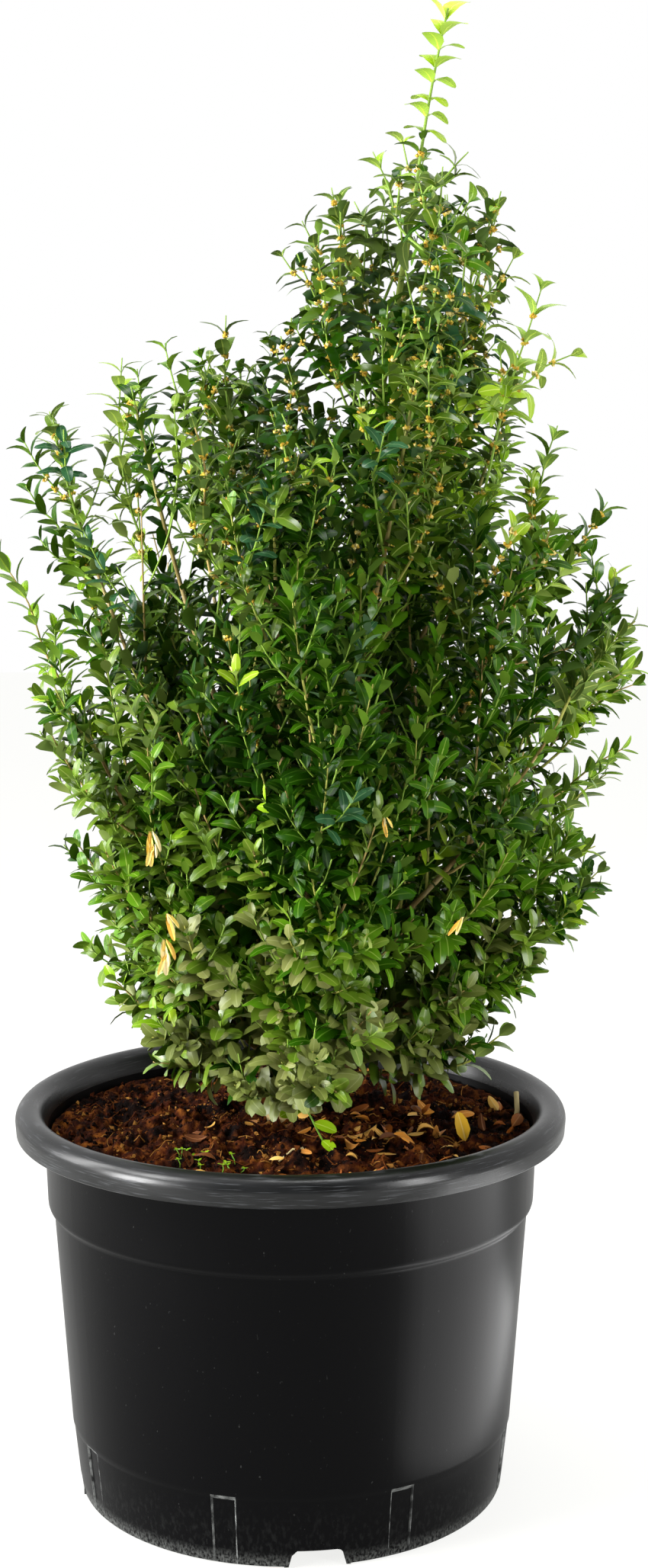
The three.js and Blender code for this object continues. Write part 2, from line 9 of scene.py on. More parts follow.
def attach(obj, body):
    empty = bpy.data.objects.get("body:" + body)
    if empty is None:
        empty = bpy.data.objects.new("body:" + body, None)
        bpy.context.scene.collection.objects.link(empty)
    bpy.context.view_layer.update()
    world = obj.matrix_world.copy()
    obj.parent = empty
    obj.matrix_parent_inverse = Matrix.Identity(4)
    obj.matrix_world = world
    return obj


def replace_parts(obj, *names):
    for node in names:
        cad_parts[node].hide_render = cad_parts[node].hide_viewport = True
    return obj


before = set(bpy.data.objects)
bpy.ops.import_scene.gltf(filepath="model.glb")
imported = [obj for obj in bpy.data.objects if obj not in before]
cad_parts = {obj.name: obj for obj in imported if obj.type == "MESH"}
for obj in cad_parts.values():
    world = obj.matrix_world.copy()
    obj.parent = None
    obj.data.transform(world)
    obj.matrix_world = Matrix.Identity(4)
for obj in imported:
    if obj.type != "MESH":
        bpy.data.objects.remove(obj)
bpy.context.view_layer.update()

up = Vector((0, 0, 1))
eye = Vector((0.0272, -1.83, 0.826))  # where the camera stands
goldenAngle = 137.5
seed = 4.2


# small sums, with angles in degrees

def mix(a, b, t):
    return a + (b - a) * t


def ease(x, low, high):
    t = min(1, max(0, (x - low) / (high - low)))
    return t * t * (3 - 2 * t)


def chance(index, salt):  # a seeded number from 0 to 1 for a pair of whole numbers
    x = math.sin(index * 127.1 + salt * 311.7 + seed) * 43758.5453
    return x - math.floor(x)


def around(index, salt):  # the same from -1 to 1
    return 2 * chance(index, salt) - 1


def between(bounds, index, salt):  # the same between two bounds
    return mix(*bounds, chance(index, salt))


def spot(radius, turn):  # x and y at a radius
    return radius * math.cos(math.radians(turn)), radius * math.sin(math.radians(turn))


def bend3(a, b, c, t):  # a place on the curve from a to c that b pulls aside
    s = 1 - t
    return a * (s * s) + b * (2 * s * t) + c * (t * t)


def crossways(along):  # two directions square to a twig
    aside = Vector((1, 0, 0)) if abs(along.x) < abs(along.y) else Vector((0, 1, 0))
    across = (aside - along * aside.dot(along)).normalized()
    return across, along.cross(across)


def leaning(along, turn, opening):  # the way that leans out from a twig, and the way straight out of it
    across, other = crossways(along)
    x, y = spot(1, turn)
    out = across * x + other * y
    near, far = spot(1, opening)
    return along * near + out * far, out


# finishes: each helper takes and gives the sockets of a finish's nodes

def linear(shade):  # "#rrggbb" as the linear colour that a shader takes
    parts = [int(shade[i:i + 2], 16) / 255 for i in (1, 3, 5)]
    return tuple(c / 12.92 if c <= 0.04045 else ((c + 0.055) / 1.055) ** 2.4 for c in parts) + (1,)


def feed(look, made, inputs):  # an input takes a value, or follows another node's output
    for key, value in inputs.items():
        if isinstance(value, bpy.types.NodeSocket):
            look.node_tree.links.new(value, made.inputs[key])
        else:
            made.inputs[key].default_value = value


def node(look, kind, inputs, **settings):
    made = look.node_tree.nodes.new("ShaderNode" + kind)
    for key, value in settings.items():
        setattr(made, key, value)
    feed(look, made, inputs)
    return made.outputs


def coat(look, inputs):
    feed(look, look.node_tree.nodes["Principled BSDF"], inputs)


def newLook(name, shade, roughness, specular=0.5):
    look = bpy.data.materials.new(name)
    look.use_nodes = True
    look.diffuse_color = linear(shade)
    coat(look, {"Base Color": linear(shade), "Roughness": roughness, "Specular IOR Level": specular})
    return look


def newLooks(*rows):
    return [newLook(*row) for row in rows]


def noiseOn(look, scale, detail=4.0, stretch=(1, 1, 1)):  # noise laid on by place
    place = node(look, "TexCoord", {})["Object"]
    place = node(look, "Mapping", {"Vector": place, "Scale": stretch})["Vector"]
    return node(look, "TexNoise", {"Vector": place, "Scale": scale, "Detail": detail})["Fac"]


def rampOn(look, source, *stops):
    colour = node(look, "ValToRGB", {"Fac": source})["Color"]
    elements = colour.node.color_ramp.elements
    for i, (place, shade) in enumerate(stops):
        element = elements[i] if i < len(elements) else elements.new(place)
        element.position = place
        element.color = linear(shade)
    return colour


def mixOn(look, mask, low, high):  # a colour between two others, by a mask
    return node(look, "Mix", {0: mask, 6: low, 7: high}, data_type="RGBA")[2]


def mathOn(look, operation, a, b):
    return node(look, "Math", {0: a, 1: b}, operation=operation, use_clamp=True)["Value"]


def spreadOn(look, source, low, high):
    return node(look, "MapRange", {"Value": source, "To Min": low, "To Max": high})["Result"]


def fadeOn(look, low, high):  # 0 at one height and 1 at another
    height = node(look, "SeparateXYZ", {"Vector": node(look, "TexCoord", {})["Object"]})["Z"]
    return node(look, "MapRange", {"Value": height, "From Min": low, "From Max": high})["Result"]


def glossOn(look, low, high):  # gloss that wanders a little
    coat(look, {"Roughness": spreadOn(look, noiseOn(look, 14, 5, (1, 1, 0.35)), low, high)})


def bumpOn(look, height, strength, distance):
    bump = node(look, "Bump", {"Height": height, "Strength": strength, "Distance": distance})
    coat(look, {"Normal": bump["Normal"]})


# meshes

def newThing(name, data):
    thing = bpy.data.objects.new(name, data)
    bpy.context.scene.collection.objects.link(thing)
    return thing


def newMesh(name, points, faces):
    mesh = bpy.data.meshes.new(name)
    mesh.from_pydata(points, [], faces)
    return mesh


def newPiece(name, mesh, looks, faceLooks, smooth=True):
    for look in looks:
        mesh.materials.append(look)
    mesh.polygons.foreach_set("material_index", np.asarray(faceLooks, np.int32))
    mesh.polygons.foreach_set("use_smooth", np.full(len(mesh.polygons), smooth))
    mesh.update()
    piece = newThing(name, mesh)
    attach(piece, "root")
    return piece


def ringFaces(rings):  # the faces from each ring of corners to the next, where a ring may be a single point
    faces = []
    for low, high in zip(rings, rings[1:]):
        for k in range(max(len(low), len(high))):
            corners = ((low, k), (low, k + 1), (high, k + 1), (high, k))
            faces.append(tuple(dict.fromkeys(ring[i % len(ring)] for ring, i in corners)))
    return faces


def tubeFaces(count, sides):  # the sides and both ends of a closed tube
    rings = [range(i * sides, (i + 1) * sides) for i in range(count)]
    return ringFaces(rings) + [tuple(reversed(rings[0])), tuple(rings[-1])]


class Heap:  # points, faces and their finishes, gathered before they become one piece
    def __init__(self):
        self.points, self.faces, self.looks = [], [], []

    def add(self, points, faces, look):
        start = len(self.points)
        self.points += points
        self.faces += [tuple(start + i for i in face) for face in faces]
        self.looks += [look] * len(faces)

    def tube(self, line, radii, sides, look, relief=None):
        points = []
        across, _ = crossways((line[1] - line[0]).normalized())
        for i, middle in enumerate(line):
            along = (line[min(i + 1, len(line) - 1)] - line[max(i - 1, 0)]).normalized()
            across = (across - along * across.dot(along)).normalized()
            other = along.cross(across)
            for k in range(sides):
                x, y = spot(1, 360 * k / sides)
                out = across * x + other * y
                points.append(middle + out * radii[i] * (relief(middle, (x, y), out) if relief else 1))
        self.add(points, tubeFaces(len(line), sides), look)

    def piece(self, name, looks, slot, smooth=True):
        return newPiece(name, newMesh(name, self.points, self.faces), looks, self.looks, smooth)


# pot

pot = {
    "height": 0.322,
    "wall": 0.0028,
    "floor": 0.003,
    "footRadius": 0.175,
    "hemHeight": 0.056,
    "hemRadius": 0.181,
    "hemStep": 0.0009,
    "bandHeight": 0.236,
    "bandRadius": 0.1945,
    "bandStep": 0.0046,
    "collarRadius": 0.2016,
    "rimRadius": 0.225,
    "rimRoll": 0.0115,
    "lipDrop": 0.011,
    "wobble": 0.0004,  # how far the wall above the band is from round
    "stripCount": 8,
    "stripFirst": -106,
    "stripWidth": 0.017,
    "stripDepth": 0.0013,
    "edgeTurn": 0.42,  # degrees that a strip's edge takes
    "archCount": 4,
    "archFirst": -82.6,
    "archWidth": 0.046,
    "archHeight": 0.014,
    "archInner": 0.072,
    "archSlant": 0.003,
    "archCorner": 0.005,
}
stripHalf = math.degrees(pot["stripWidth"] / 2 / pot["footRadius"])
rollZ = pot["height"] - pot["rimRoll"]  # the height of the rim's middle


def potProfile():  # radius and height of each ring: up the wall, round the rim and its lip, and down inside
    wall, ledge, collar, rim = pot["wall"], pot["bandStep"], pot["collarRadius"], pot["rimRadius"]
    foot, hem, band = pot["footRadius"], pot["hemRadius"], pot["bandRadius"]
    aboveHem = hem + pot["hemStep"]
    hemZ, bandZ, lipZ = pot["hemHeight"], pot["bandHeight"], rollZ - pot["lipDrop"]

    def arc(radius, start, end, steps):
        places = [spot(radius, mix(start, end, k / steps)) for k in range(steps + 1)]
        return [(rim - pot["rimRoll"] + x, rollZ + y) for x, y in places]

    rings = [(0, 0), (foot - 0.05, 0), (foot - 0.0022, 0), (foot - 0.0006, 0.0006), (foot + 0.0001, 0.0022)]
    rings += [(mix(foot, hem, t), mix(0, hemZ, t)) for t in (0.2, 0.5, 0.8, 0.97, 1)]
    rings += [(aboveHem, hemZ + 0.002)]
    rings += [(mix(aboveHem, band, t), mix(hemZ + 0.002, bandZ, t)) for t in (0.02, 0.3, 0.6, 0.9, 0.99)]
    rings += [(band + 0.0001, bandZ), (band + 0.0008, bandZ + 0.001), (band + ledge - 0.0006, bandZ + 0.0042)]
    rings += [(band + ledge, bandZ + 0.006), (band + ledge + 0.0002, bandZ + 0.008), (collar, rollZ - 0.006)]
    rings += arc(pot["rimRoll"] - wall, 170, 0, 8)
    rings += [(rim - wall - 0.0008, lipZ + 0.0005), (rim - 0.0016, lipZ), (rim - 0.0008, lipZ + 0.0008)]
    rings += arc(pot["rimRoll"], 0, 158, 18)
    rings += [(collar - wall, rollZ - 0.006), (band + ledge - wall, bandZ + 0.006)]
    rings += [(band - wall, bandZ - 0.001), (foot - wall, pot["floor"] + 0.0015)]
    return rings + [(foot - wall - 0.0015, pot["floor"]), (0, pot["floor"])]


def potAngles():  # every 2 degrees, and at both sides of each strip's edges
    angles = {round(2.0 * k, 3) for k in range(180)}
    for k in range(pot["stripCount"]):
        middle = pot["stripFirst"] + 360 * k / pot["stripCount"]
        for edge in (-stripHalf - pot["edgeTurn"], -stripHalf, stripHalf, stripHalf + pot["edgeTurn"]):
            angles.add(round((middle + edge) % 360, 3))
    return sorted(angles)


def fromStrip(angle):  # how many degrees a place is from the middle of the nearest strip
    step = 360 / pot["stripCount"]
    return abs((angle - pot["stripFirst"] + step / 2) % step - step / 2)


def potMesh():
    points, rings, angles = [], [], potAngles()
    for radius, z in potProfile():
        start = len(points)
        onWall = radius > pot["footRadius"] - 0.001 and 0.001 < z < pot["hemHeight"] - 0.001
        for angle in angles if radius else [0]:
            inset = pot["stripDepth"] * (onWall and fromStrip(angle) <= stripHalf + 0.01)
            grain = Vector((*spot(1, angle), z * 2)) * 1.7
            wobble = pot["wobble"] * noise.noise(grain) if z > pot["bandHeight"] + 0.004 else 0
            points.append((*spot(radius - inset + wobble, angle), z))
        rings.append(range(start, len(points)))
    return newMesh("pot_shell", points, ringFaces(rings))


def archMesh(azimuth, grow):  # the tunnel under the floor, and grown, the ridge over it
    half, top = pot["archWidth"] / 2 + grow, pot["archHeight"] + grow
    side, corner = half - pot["archSlant"], pot["archCorner"]
    low = 0.0006 if grow else -0.002
    start, end = pot["archInner"] - grow, pot["footRadius"] + (-0.001 if grow else 0.012)
    section = [(-half, low), (half, low), (side, top - corner)]
    for a in (0.5, 1, math.pi / 2):
        section.append((side - corner * (1 - math.cos(a)), top - corner * (1 - math.sin(a))))
    section += [(0.004 - side, top), (-side, top - 0.004)]
    turn = Matrix.Rotation(math.radians(azimuth), 4, "Z")
    points = [turn @ Vector((x, y, z)) for x in (start, end) for y, z in section]
    return newMesh("arch", points, tubeFaces(2, len(section)))


def wallLook():
    look = newLook("black_pot_plastic", "#050506", 0.3, 0.08)
    # dust and scuffs low down, a pale line of them along the foot, and fine specks and scratches all over
    scuff = rampOn(look, noiseOn(look, 340, 8, (1, 1, 0.5)), (0.50, "#000000"), (0.76, "#4a4a4a"))
    hem = rampOn(look, noiseOn(look, 620, 6, (1, 1, 0.6)), (0.38, "#101010"), (0.66, "#c4c4c4"))
    speck = rampOn(look, noiseOn(look, 420, 2, (1, 1, 0.55)), (0.72, "#000000"), (0.80, "#6a6a6a"))
    dust = mathOn(look, "MULTIPLY", scuff, fadeOn(look, 0.055, 0.004))
    line = mathOn(look, "MULTIPLY", hem, fadeOn(look, 0.013, 0.002))
    pale = mathOn(look, "ADD", mathOn(look, "MAXIMUM", dust, line), speck)
    coat(look, {"Base Color": mixOn(look, pale, linear("#050506"), linear("#7d7f7c"))})
    glossOn(look, 0.22, 0.38)
    bumpOn(look, noiseOn(look, 900, 3), 0.12, 0.0004)
    return look


def rimLook():  # the rolled rim is worn greyer, partly real wear and partly painted sheen, with scratches and painted streak highlights that run round it
    look = newLook("worn_pot_rim_and_painted_sheen", "#151617", 0.30, 0.44)
    # the greyer tone is partly wear and partly painted sheen
    worn_and_painted_sheen = rampOn(look, noiseOn(look, 11, 6, (1, 1, 5)), (0.40, "#060707"), (0.70, "#1e1f20"))
    # pale scratches that run round the rim, which also serve as painted streak highlights
    scratches_and_painted_streaks = rampOn(look, noiseOn(look, 40, 8, (1, 1, 22)), (0.56, "#000000"), (0.70, "#8c8c8c"))
    coat(look, {"Base Color": mixOn(look, scratches_and_painted_streaks, worn_and_painted_sheen, linear("#74767a"))})
    glossOn(look, 0.20, 0.38)
    bumpOn(look, noiseOn(look, 60, 7, (1, 1, 14)), 0.10, 0.0006)
    return look


def edgeLook():  # the strips' edges are painted pale, a painted highlight along them
    look = newLook("strip_edge_painted_highlight", "#565857", 0.5, 0.3)
    # the pale tone is a painted highlight on the strips' edges
    coat(look, {"Base Color": rampOn(look, noiseOn(look, 130, 5), (0.40, "#161717"), (0.64, "#747674"))})
    return look


def potPart(middle):  # which of the pot's finishes a face takes: wall, rim or strip edge
    radius, z = math.hypot(middle.x, middle.y), middle.z
    if z > rollZ - pot["rimRoll"] - 0.001 and radius > pot["collarRadius"] - 0.004:
        return 1
    if radius < pot["footRadius"] - 0.004 or not 0.001 < z < pot["hemHeight"] + 0.002:
        return 0
    past = fromStrip(math.degrees(math.atan2(middle.y, middle.x))) - stripHalf
    above = past < pot["edgeTurn"] and abs(z - pot["hemHeight"]) < 0.0016
    return 2 if above or 0 < past < pot["edgeTurn"] else 0


def makePot():
    shell = newThing("pot_blank", potMesh())
    tools = []
    for k in range(pot["archCount"]):
        for grow, operation in ((pot["wall"], "UNION"), (0, "DIFFERENCE")):
            tools.append(newThing("arch_tool", archMesh(pot["archFirst"] + 360 * k / pot["archCount"], grow)))
            cut = shell.modifiers.new("arch", "BOOLEAN")
            cut.operation, cut.solver, cut.object = operation, "EXACT", tools[-1]
    solid = bpy.data.meshes.new_from_object(shell.evaluated_get(bpy.context.evaluated_depsgraph_get()))
    for thing in (shell, *tools):
        bpy.data.objects.remove(thing)
    parts = [potPart(face.center) for face in solid.polygons]
    piece = newPiece("pot_shell", solid, [wallLook(), rimLook(), edgeLook()], parts)
    solid.set_sharp_from_angle(angle=math.radians(34))
    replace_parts(piece, "pot")
    print("pot made, faces", len(parts))


makePot()


# crown: where its limbs run, by the same rule as the solids

soil = {"level": 0.298, "mound": 0.008, "footX": -0.006, "footFlat": 0.038, "footSlope": 0.014,
        "moundReach": 0.15, "rimReach": 0.19, "lump": 0.0042}

trunk = {
    "footRadius": 0.010,
    "topRadius": 0.0019,
    "flareRadius": 0.017,
    "flareHeight": 0.009,
    "thinning": 0.7,
    "bend": [(-0.006, 0, 0.306), (-0.002, 0.008, 0.560), (0.058, -0.010, 0.800), (0.098, 0.002, 1.040)],
}

crown = {
    # height, left edge and right edge of the crown seen from the front
    "outline": [
        (0.325, -0.100, 0.120),
        (0.400, -0.138, 0.174),
        (0.500, -0.158, 0.240),
        (0.600, -0.190, 0.264),
        (0.690, -0.208, 0.278),
        (0.780, -0.232, 0.250),
        (0.860, -0.198, 0.220),
        (0.940, -0.124, 0.218),
        (1.000, -0.018, 0.186),
        (1.060, 0.040, 0.166),
        (1.120, 0.088, 0.142),
        (1.192, 0.104, 0.142),
    ],
    "deepness": 0.92,
    "overhang": (-0.034, 0.014),  # how far past the outline a shoot may reach
    "overSoil": (0.010, 0.048),  # how far from the soil leaves begin, elsewhere and at the front right
    "overRim": 0.010,
    "inRim": 0.182,
}

# name, limbs, first azimuth, tip height, inset, root height, root rise, bare share, spread
tiers = [
    ("skirt", 4, 264, 0.384, 0.030, 0.322, 0.005, 0.16, 0.074),
    ("low", 5, 200, 0.486, 0.028, 0.345, 0.006, 0.22, 0.092),
    ("mid", 6, 202, 0.640, 0.026, 0.380, 0.007, 0.26, 0.096),
    ("high", 5, 187, 0.800, 0.026, 0.428, 0.008, 0.30, 0.092),
    ("shoulder", 4, 206, 0.912, 0.026, 0.480, 0.012, 0.32, 0.084),
    ("crest", 4, 196, 1.036, 0.012, 0.690, 0.020, 0.00, 0.072),
]
stray = {"azimuth": 9, "height": 0.030, "reach": 0.010, "elbowOut": 0.6, "elbowUp": 0.42}
leader = {"tip": (0.123, -0.002, 1.186), "bendX": 0.106, "azimuth": 30, "spread": 0.030, "greenShare": 0.34,
          "radii": (0.0017, 0.0009), "opened": -8, "widened": 1.46, "turned": 38, "slim": 0.8,
          "lowSize": 0.95, "topSize": 1.12}
bough = {"rootRadius": 0.0044, "endRadius": 0.001, "thinning": 0.55, "length": 0.97, "sides": 10, "steps": 46}


def trunkPoint(t):
    a, b, c, d = (Vector(p) for p in trunk["bend"])
    s = 1 - t
    return a * s ** 3 + b * (3 * s * s * t) + c * (3 * s * t * t) + d * t ** 3


def trunkRadius(t):
    rise = trunkPoint(t).z - trunk["bend"][0][2]
    flare = (trunk["flareRadius"] - trunk["footRadius"]) * math.exp(-rise / trunk["flareHeight"])
    return mix(trunk["footRadius"], trunk["topRadius"], t ** trunk["thinning"]) + flare


def trunkShare(z):  # how far up the trunk a height is
    low, high = 0.0, 1.0
    for _ in range(24):
        middle = (low + high) / 2
        low, high = (middle, high) if trunkPoint(middle).z < z else (low, middle)
    return low


def soilHeight(x, y):
    fromFoot = math.hypot(x - soil["footX"], y)
    rough = ease(fromFoot, soil["footFlat"], soil["footFlat"] + soil["footSlope"])
    rim = 1 - ease(math.hypot(x, y), soil["moundReach"], soil["rimReach"])
    mx, my = x * 1000, y * 1000
    swells = math.sin(mx * 0.061 + 1) * math.cos(my * 0.073)
    clods = math.sin(mx * 0.13 - my * 0.09) * math.cos(mx * 0.07 + my * 0.15)
    mound = soil["mound"] * (1 - ease(fromFoot, soil["footFlat"], soil["moundReach"]))
    return soil["level"] + mound + soil["lump"] * (0.6 * swells + clods) * rough * rim


def outlineAt(z):  # the middle and half width of the crown at a height
    rows = crown["outline"]
    i = 0
    while i < len(rows) - 2 and rows[i + 1][0] < z:
        i += 1
    share = min(1, max(0, (z - rows[i][0]) / (rows[i + 1][0] - rows[i][0])))
    left, right = mix(rows[i][1], rows[i + 1][1], share), mix(rows[i][2], rows[i + 1][2], share)
    return (left + right) / 2, (right - left) / 2


def outwardness(point, overhang=0):  # 0 on the crown's middle line, 1 at its outline
    middle, half = outlineAt(point.z)
    wide = half + overhang
    return math.hypot((point.x - middle) / wide, point.y / (wide * crown["deepness"]))


def hasRoom(point, overhang):
    clear = mix(*crown["overSoil"], ease(point.x, -0.04, 0.06) * ease(-point.y, 0, 0.03))
    if point.z < soilHeight(point.x, point.y) + clear or point.z > leader["tip"][2] + 0.006:
        return False
    if point.z < pot["height"] + crown["overRim"] and math.hypot(point.x, point.y) > crown["inRim"]:
        return False
    return outwardness(point, overhang) < 1


def planLimbs():
    limbs = []

    def add(tier, name, azimuth, root, elbow, tip, split, spread):
        limbs.append({"number": len(limbs) + 1, "tier": tier, "name": name, "azimuth": azimuth,
                      "bend": (root, elbow, tip), "split": split, "spread": spread})

    for tier, count, first, tipZ, inset, rootZ, rootRise, split, spread in tiers:
        for i in range(count):
            number = len(limbs) + 1
            azimuth = first + 360 * i / count + stray["azimuth"] * around(number, 1)
            z = tipZ + stray["height"] * around(number, 3)
            middle, half = outlineAt(z)
            x, y = spot(half - inset + stray["reach"] * around(number, 2), azimuth)
            tip = Vector((middle + x, y * crown["deepness"], z))
            root = trunkPoint(trunkShare(rootZ + rootRise * i))
            elbow = root.lerp(tip, stray["elbowOut"])
            elbow.z = mix(root.z, tip.z, stray["elbowUp"])
            add(tier, f"{tier}_{i + 1}", azimuth, root, elbow, tip, split, spread)
    root, tip = trunkPoint(1), Vector(leader["tip"])
    elbow = Vector((leader["bendX"], root.y, (root.z + tip.z) / 2))
    add("leader", "leader", leader["azimuth"], root, elbow, tip, 0, leader["spread"])
    return limbs


def limbPoint(limb, t):
    return bend3(*limb["bend"], t)


limbs = planLimbs()
print("limbs planned", len(limbs))


# bark: trunk and boughs with ridges, knots and old leaf scars

bark = {
    "sides": 16,
    "steps": 120,
    "gather": 1.25,  # the trunk's steps are closer towards its foot
    "buried": 0.006,
    "ridge": (1.5, 24, 0.16),  # how fine round it and along it, and how high
    "grain": (260, 0.09),
    "scar": (46, 0.25, 0.45),  # how fine, how rare and how high
}


def barkRelief(middle, turn, out):
    fineRound, fineAlong, ridgeHigh = bark["ridge"]
    ridge = noise.noise(Vector((turn[0] * fineRound, turn[1] * fineRound, middle.z * fineAlong)))
    fine, grainHigh = bark["grain"]
    grain = noise.noise((middle + out * 0.01) * fine)
    fine, rare, scarHigh = bark["scar"]
    scar = max(0, noise.noise(middle * fine) - rare)
    return 1 + ridgeHigh * ridge + grainHigh * grain + scarHigh * scar


def barkLook():  # tan, and greener towards the top
    look = newLook("tan_twig_bark", "#8d7448", 0.82, 0.25)
    grain = noiseOn(look, 85, 7, (1, 1, 0.22))
    tan = rampOn(look, grain, (0.3, "#6b5431"), (0.5, "#a58c58"), (0.72, "#c9b684"))
    green = rampOn(look, grain, (0.3, "#56652a"), (0.5, "#7c8c3a"), (0.72, "#a2ac5a"))
    coat(look, {"Base Color": mixOn(look, fadeOn(look, 0.72, 0.92), tan, green)})
    bumpOn(look, noiseOn(look, 320, 6, (1, 1, 0.3)), 0.5, 0.0008)
    return look


def makeBark():
    look = barkLook()
    stem, arms = Heap(), Heap()
    shares = [(k / bark["steps"]) ** bark["gather"] for k in range(bark["steps"] + 1)]
    line = [trunkPoint(t) for t in shares]
    line[0].z -= bark["buried"]
    stem.tube(line, [trunkRadius(t) for t in shares], bark["sides"], 0, barkRelief)
    boughs = [limb for limb in limbs if limb["split"] > 0]
    shares = [bough["length"] * k / bough["steps"] for k in range(bough["steps"] + 1)]
    radii = [mix(bough["rootRadius"], bough["endRadius"], t ** bough["thinning"]) for t in shares]
    for limb in boughs:
        arms.tube([limbPoint(limb, t) for t in shares], radii, bough["sides"], 0, barkRelief)
    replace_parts(stem.piece("trunk_bark", [look], "bark"), "trunk")
    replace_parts(arms.piece("bough_bark", [look], "bark"), *["bough_" + limb["name"] for limb in boughs])
    print("bark made")


makeBark()


# leaves: each a thin closed blade with a pale midrib and a duller underside

# blade, midrib and underside of each shade; the undersides are paler, partly their own colour and partly
# painted light, as they mostly face down into shade
greens = {
    "lime": ["#a8cc22 #c8dc50 #a0c048", "#96bf1c #b8d048 #94b444", "#bbd83a #d4e46c #b0cc58"],
    "fresh": ["#86ac1c #b4cc50 #88a448", "#769f18 #a6c046 #7c9c42", "#98b926 #c0d460 #94ac50"],
    "bright": ["#4e7c10 #88a83e #688826", "#40700b #789834 #5e7e20", "#5a8814 #92b044 #709028"],
    "middle": ["#2a5205 #54791f #50701a", "#214805 #496c1a #486816", "#335d07 #60852a #58781e",
               "#275005 #50741e #4e6e1a"],
    "deep": ["#193b02 #385a14 #3e5a16", "#133102 #305012 #365014", "#1f4304 #40621a #46621a"],
    "bluish": ["#285230 #54784c #56764c", "#305c38 #5c8254 #5e8056"],
    "crest": ["#506c14 #a0b054 #68803a", "#425e10 #8ea048 #5a7434", "#5c781a #aebc60 #728a40"],
    "olive": ["#607e1c #869c40 #7a8e46", "#547216 #768e36 #6e8440", "#6e8c24 #96a848 #88984e"],
    "dusty": ["#788240 #8e965a #808a52", "#6a7634 #828c4c #748048", "#868c4c #9ca068 #8c945e"],
    "dead": ["#f0d468 #f4e4a0 #dcc474", "#e4b648 #ecca74 #d0a650", "#ecdca0 #f2e6bc #dccd9c"],
    "litter": ["#d88c30 #e4ae5c #c08038", "#a85e20 #c07e42 #925224", "#eab658 #f0cc84 #d4a04c",
               "#6c3c18 #88562e #5c341a"],
    "yellow": ["#e0b030 #ecca6c #cca43a"],
}
# below each height, the families that a spray is dealt and their shares, outside and inside the crown; the
# deeper greens inside are painted shade
greenShares = [
    (0.430, (("dusty", 0.66), ("olive", 0.26), ("middle", 0.08)),
     (("dusty", 0.35), ("olive", 0.35), ("deep", 0.30))),
    (0.510, (("dusty", 0.30), ("olive", 0.36), ("bright", 0.10), ("middle", 0.24)),
     (("olive", 0.3), ("middle", 0.30), ("deep", 0.40))),
    (0.800, (("middle", 0.50), ("bright", 0.17), ("olive", 0.03), ("fresh", 0.02), ("bluish", 0.06),
             ("deep", 0.22)),
     (("middle", 0.30), ("deep", 0.70))),
    (1.300, (("crest", 0.56), ("middle", 0.24), ("bluish", 0.08), ("fresh", 0.05), ("deep", 0.07)),
     (("middle", 0.45), ("deep", 0.35), ("crest", 0.20))),
]
# how many sprays each side deals from shares of its own: a yellower left and fresher right, painted light,
# and a deeper middle, painted shade
sides = {"above": 0.40, "paintedLightLeft": 0.8, "paintedShadeMiddle": 0.72, "paintedLightRight": 0.5,
         "paintedLightLeftShares": (("olive", 0.7), ("bright", 0.18), ("middle", 0.12)),
         "paintedShadeMiddleShares": (("deep", 0.68), ("middle", 0.32))}

leaf = {
    "length": 0.0214,
    "width": 0.44,  # widths, thickness, arch and droop are shares of the length
    "lowWidth": 0.54,
    "thick": 0.018,
    "midrib": 0.029,
    "spacing": 0.0112,
    "sparse": 1.4,  # how much further apart the pairs stand on the crest
    "openFoot": 60,
    "openTip": 26,
    "topOpening": 14,
    "openVary": 12,
    "turnVary": 16,
    "sizeVary": (0.82, 1.12),
    "footSize": 0.85,
    "tipSize": 0.62,
    "widthVary": (0.88, 1.1),
    "stepVary": (0.9, 1.12),
    "toLight": (0.25, 0.6),
    "arch": (0.04, 0.12),
    "topArch": 0.06,
    "droop": (0.06, 0.36),
    "topDroop": 0.22,
    "fold": (-0.30, 0.28),
    "stalk": 0.0006,
    "outerFrom": 0.66,  # how far out in the crown the finer cuts begin
    "finestFrom": 0.9,
    "finestAbove": 0.8,
    "roughness": 0.25,
    "sheen": 0.28,
    "underSheen": 0.12,
}
# how much rougher and shinier than the rest a family is
leafGloss = {"middle": (0, -0.13), "deep": (0.05, -0.19), "olive": (0.05, 0.24), "bright": (0.02, 0.08),
             "dusty": (0.12, 0.06), "dead": (0.3, 0), "litter": (0.3, 0), "yellow": (0.3, 0)}

paintNumbers = {}  # where each shade's blade stands in leafLooks, with its rib and underside next
leafLooks = []
for family, shades in greens.items():
    paintNumbers[family] = []
    moreRough, moreSheen = leafGloss.get(family, (0, 0))
    rough, sheen = leaf["roughness"] + moreRough, leaf["sheen"] + moreSheen
    finishes = [("blade", 0, sheen), ("rib", 0.08, sheen), ("under", 0.3, leaf["underSheen"])]
    for i, shade in enumerate(shades):
        paintNumbers[family].append(len(leafLooks))
        for colour, (part, rougher, shine) in zip(shade.split(), finishes):
            leafLooks.append(newLook(f"leaf_{family}_{i + 1}_{part}", colour, rough + rougher, shine))


def dealt(family, number, salt):  # one of a family's shades
    shades = paintNumbers[family]
    return shades[int(len(shades) * chance(number, salt))]


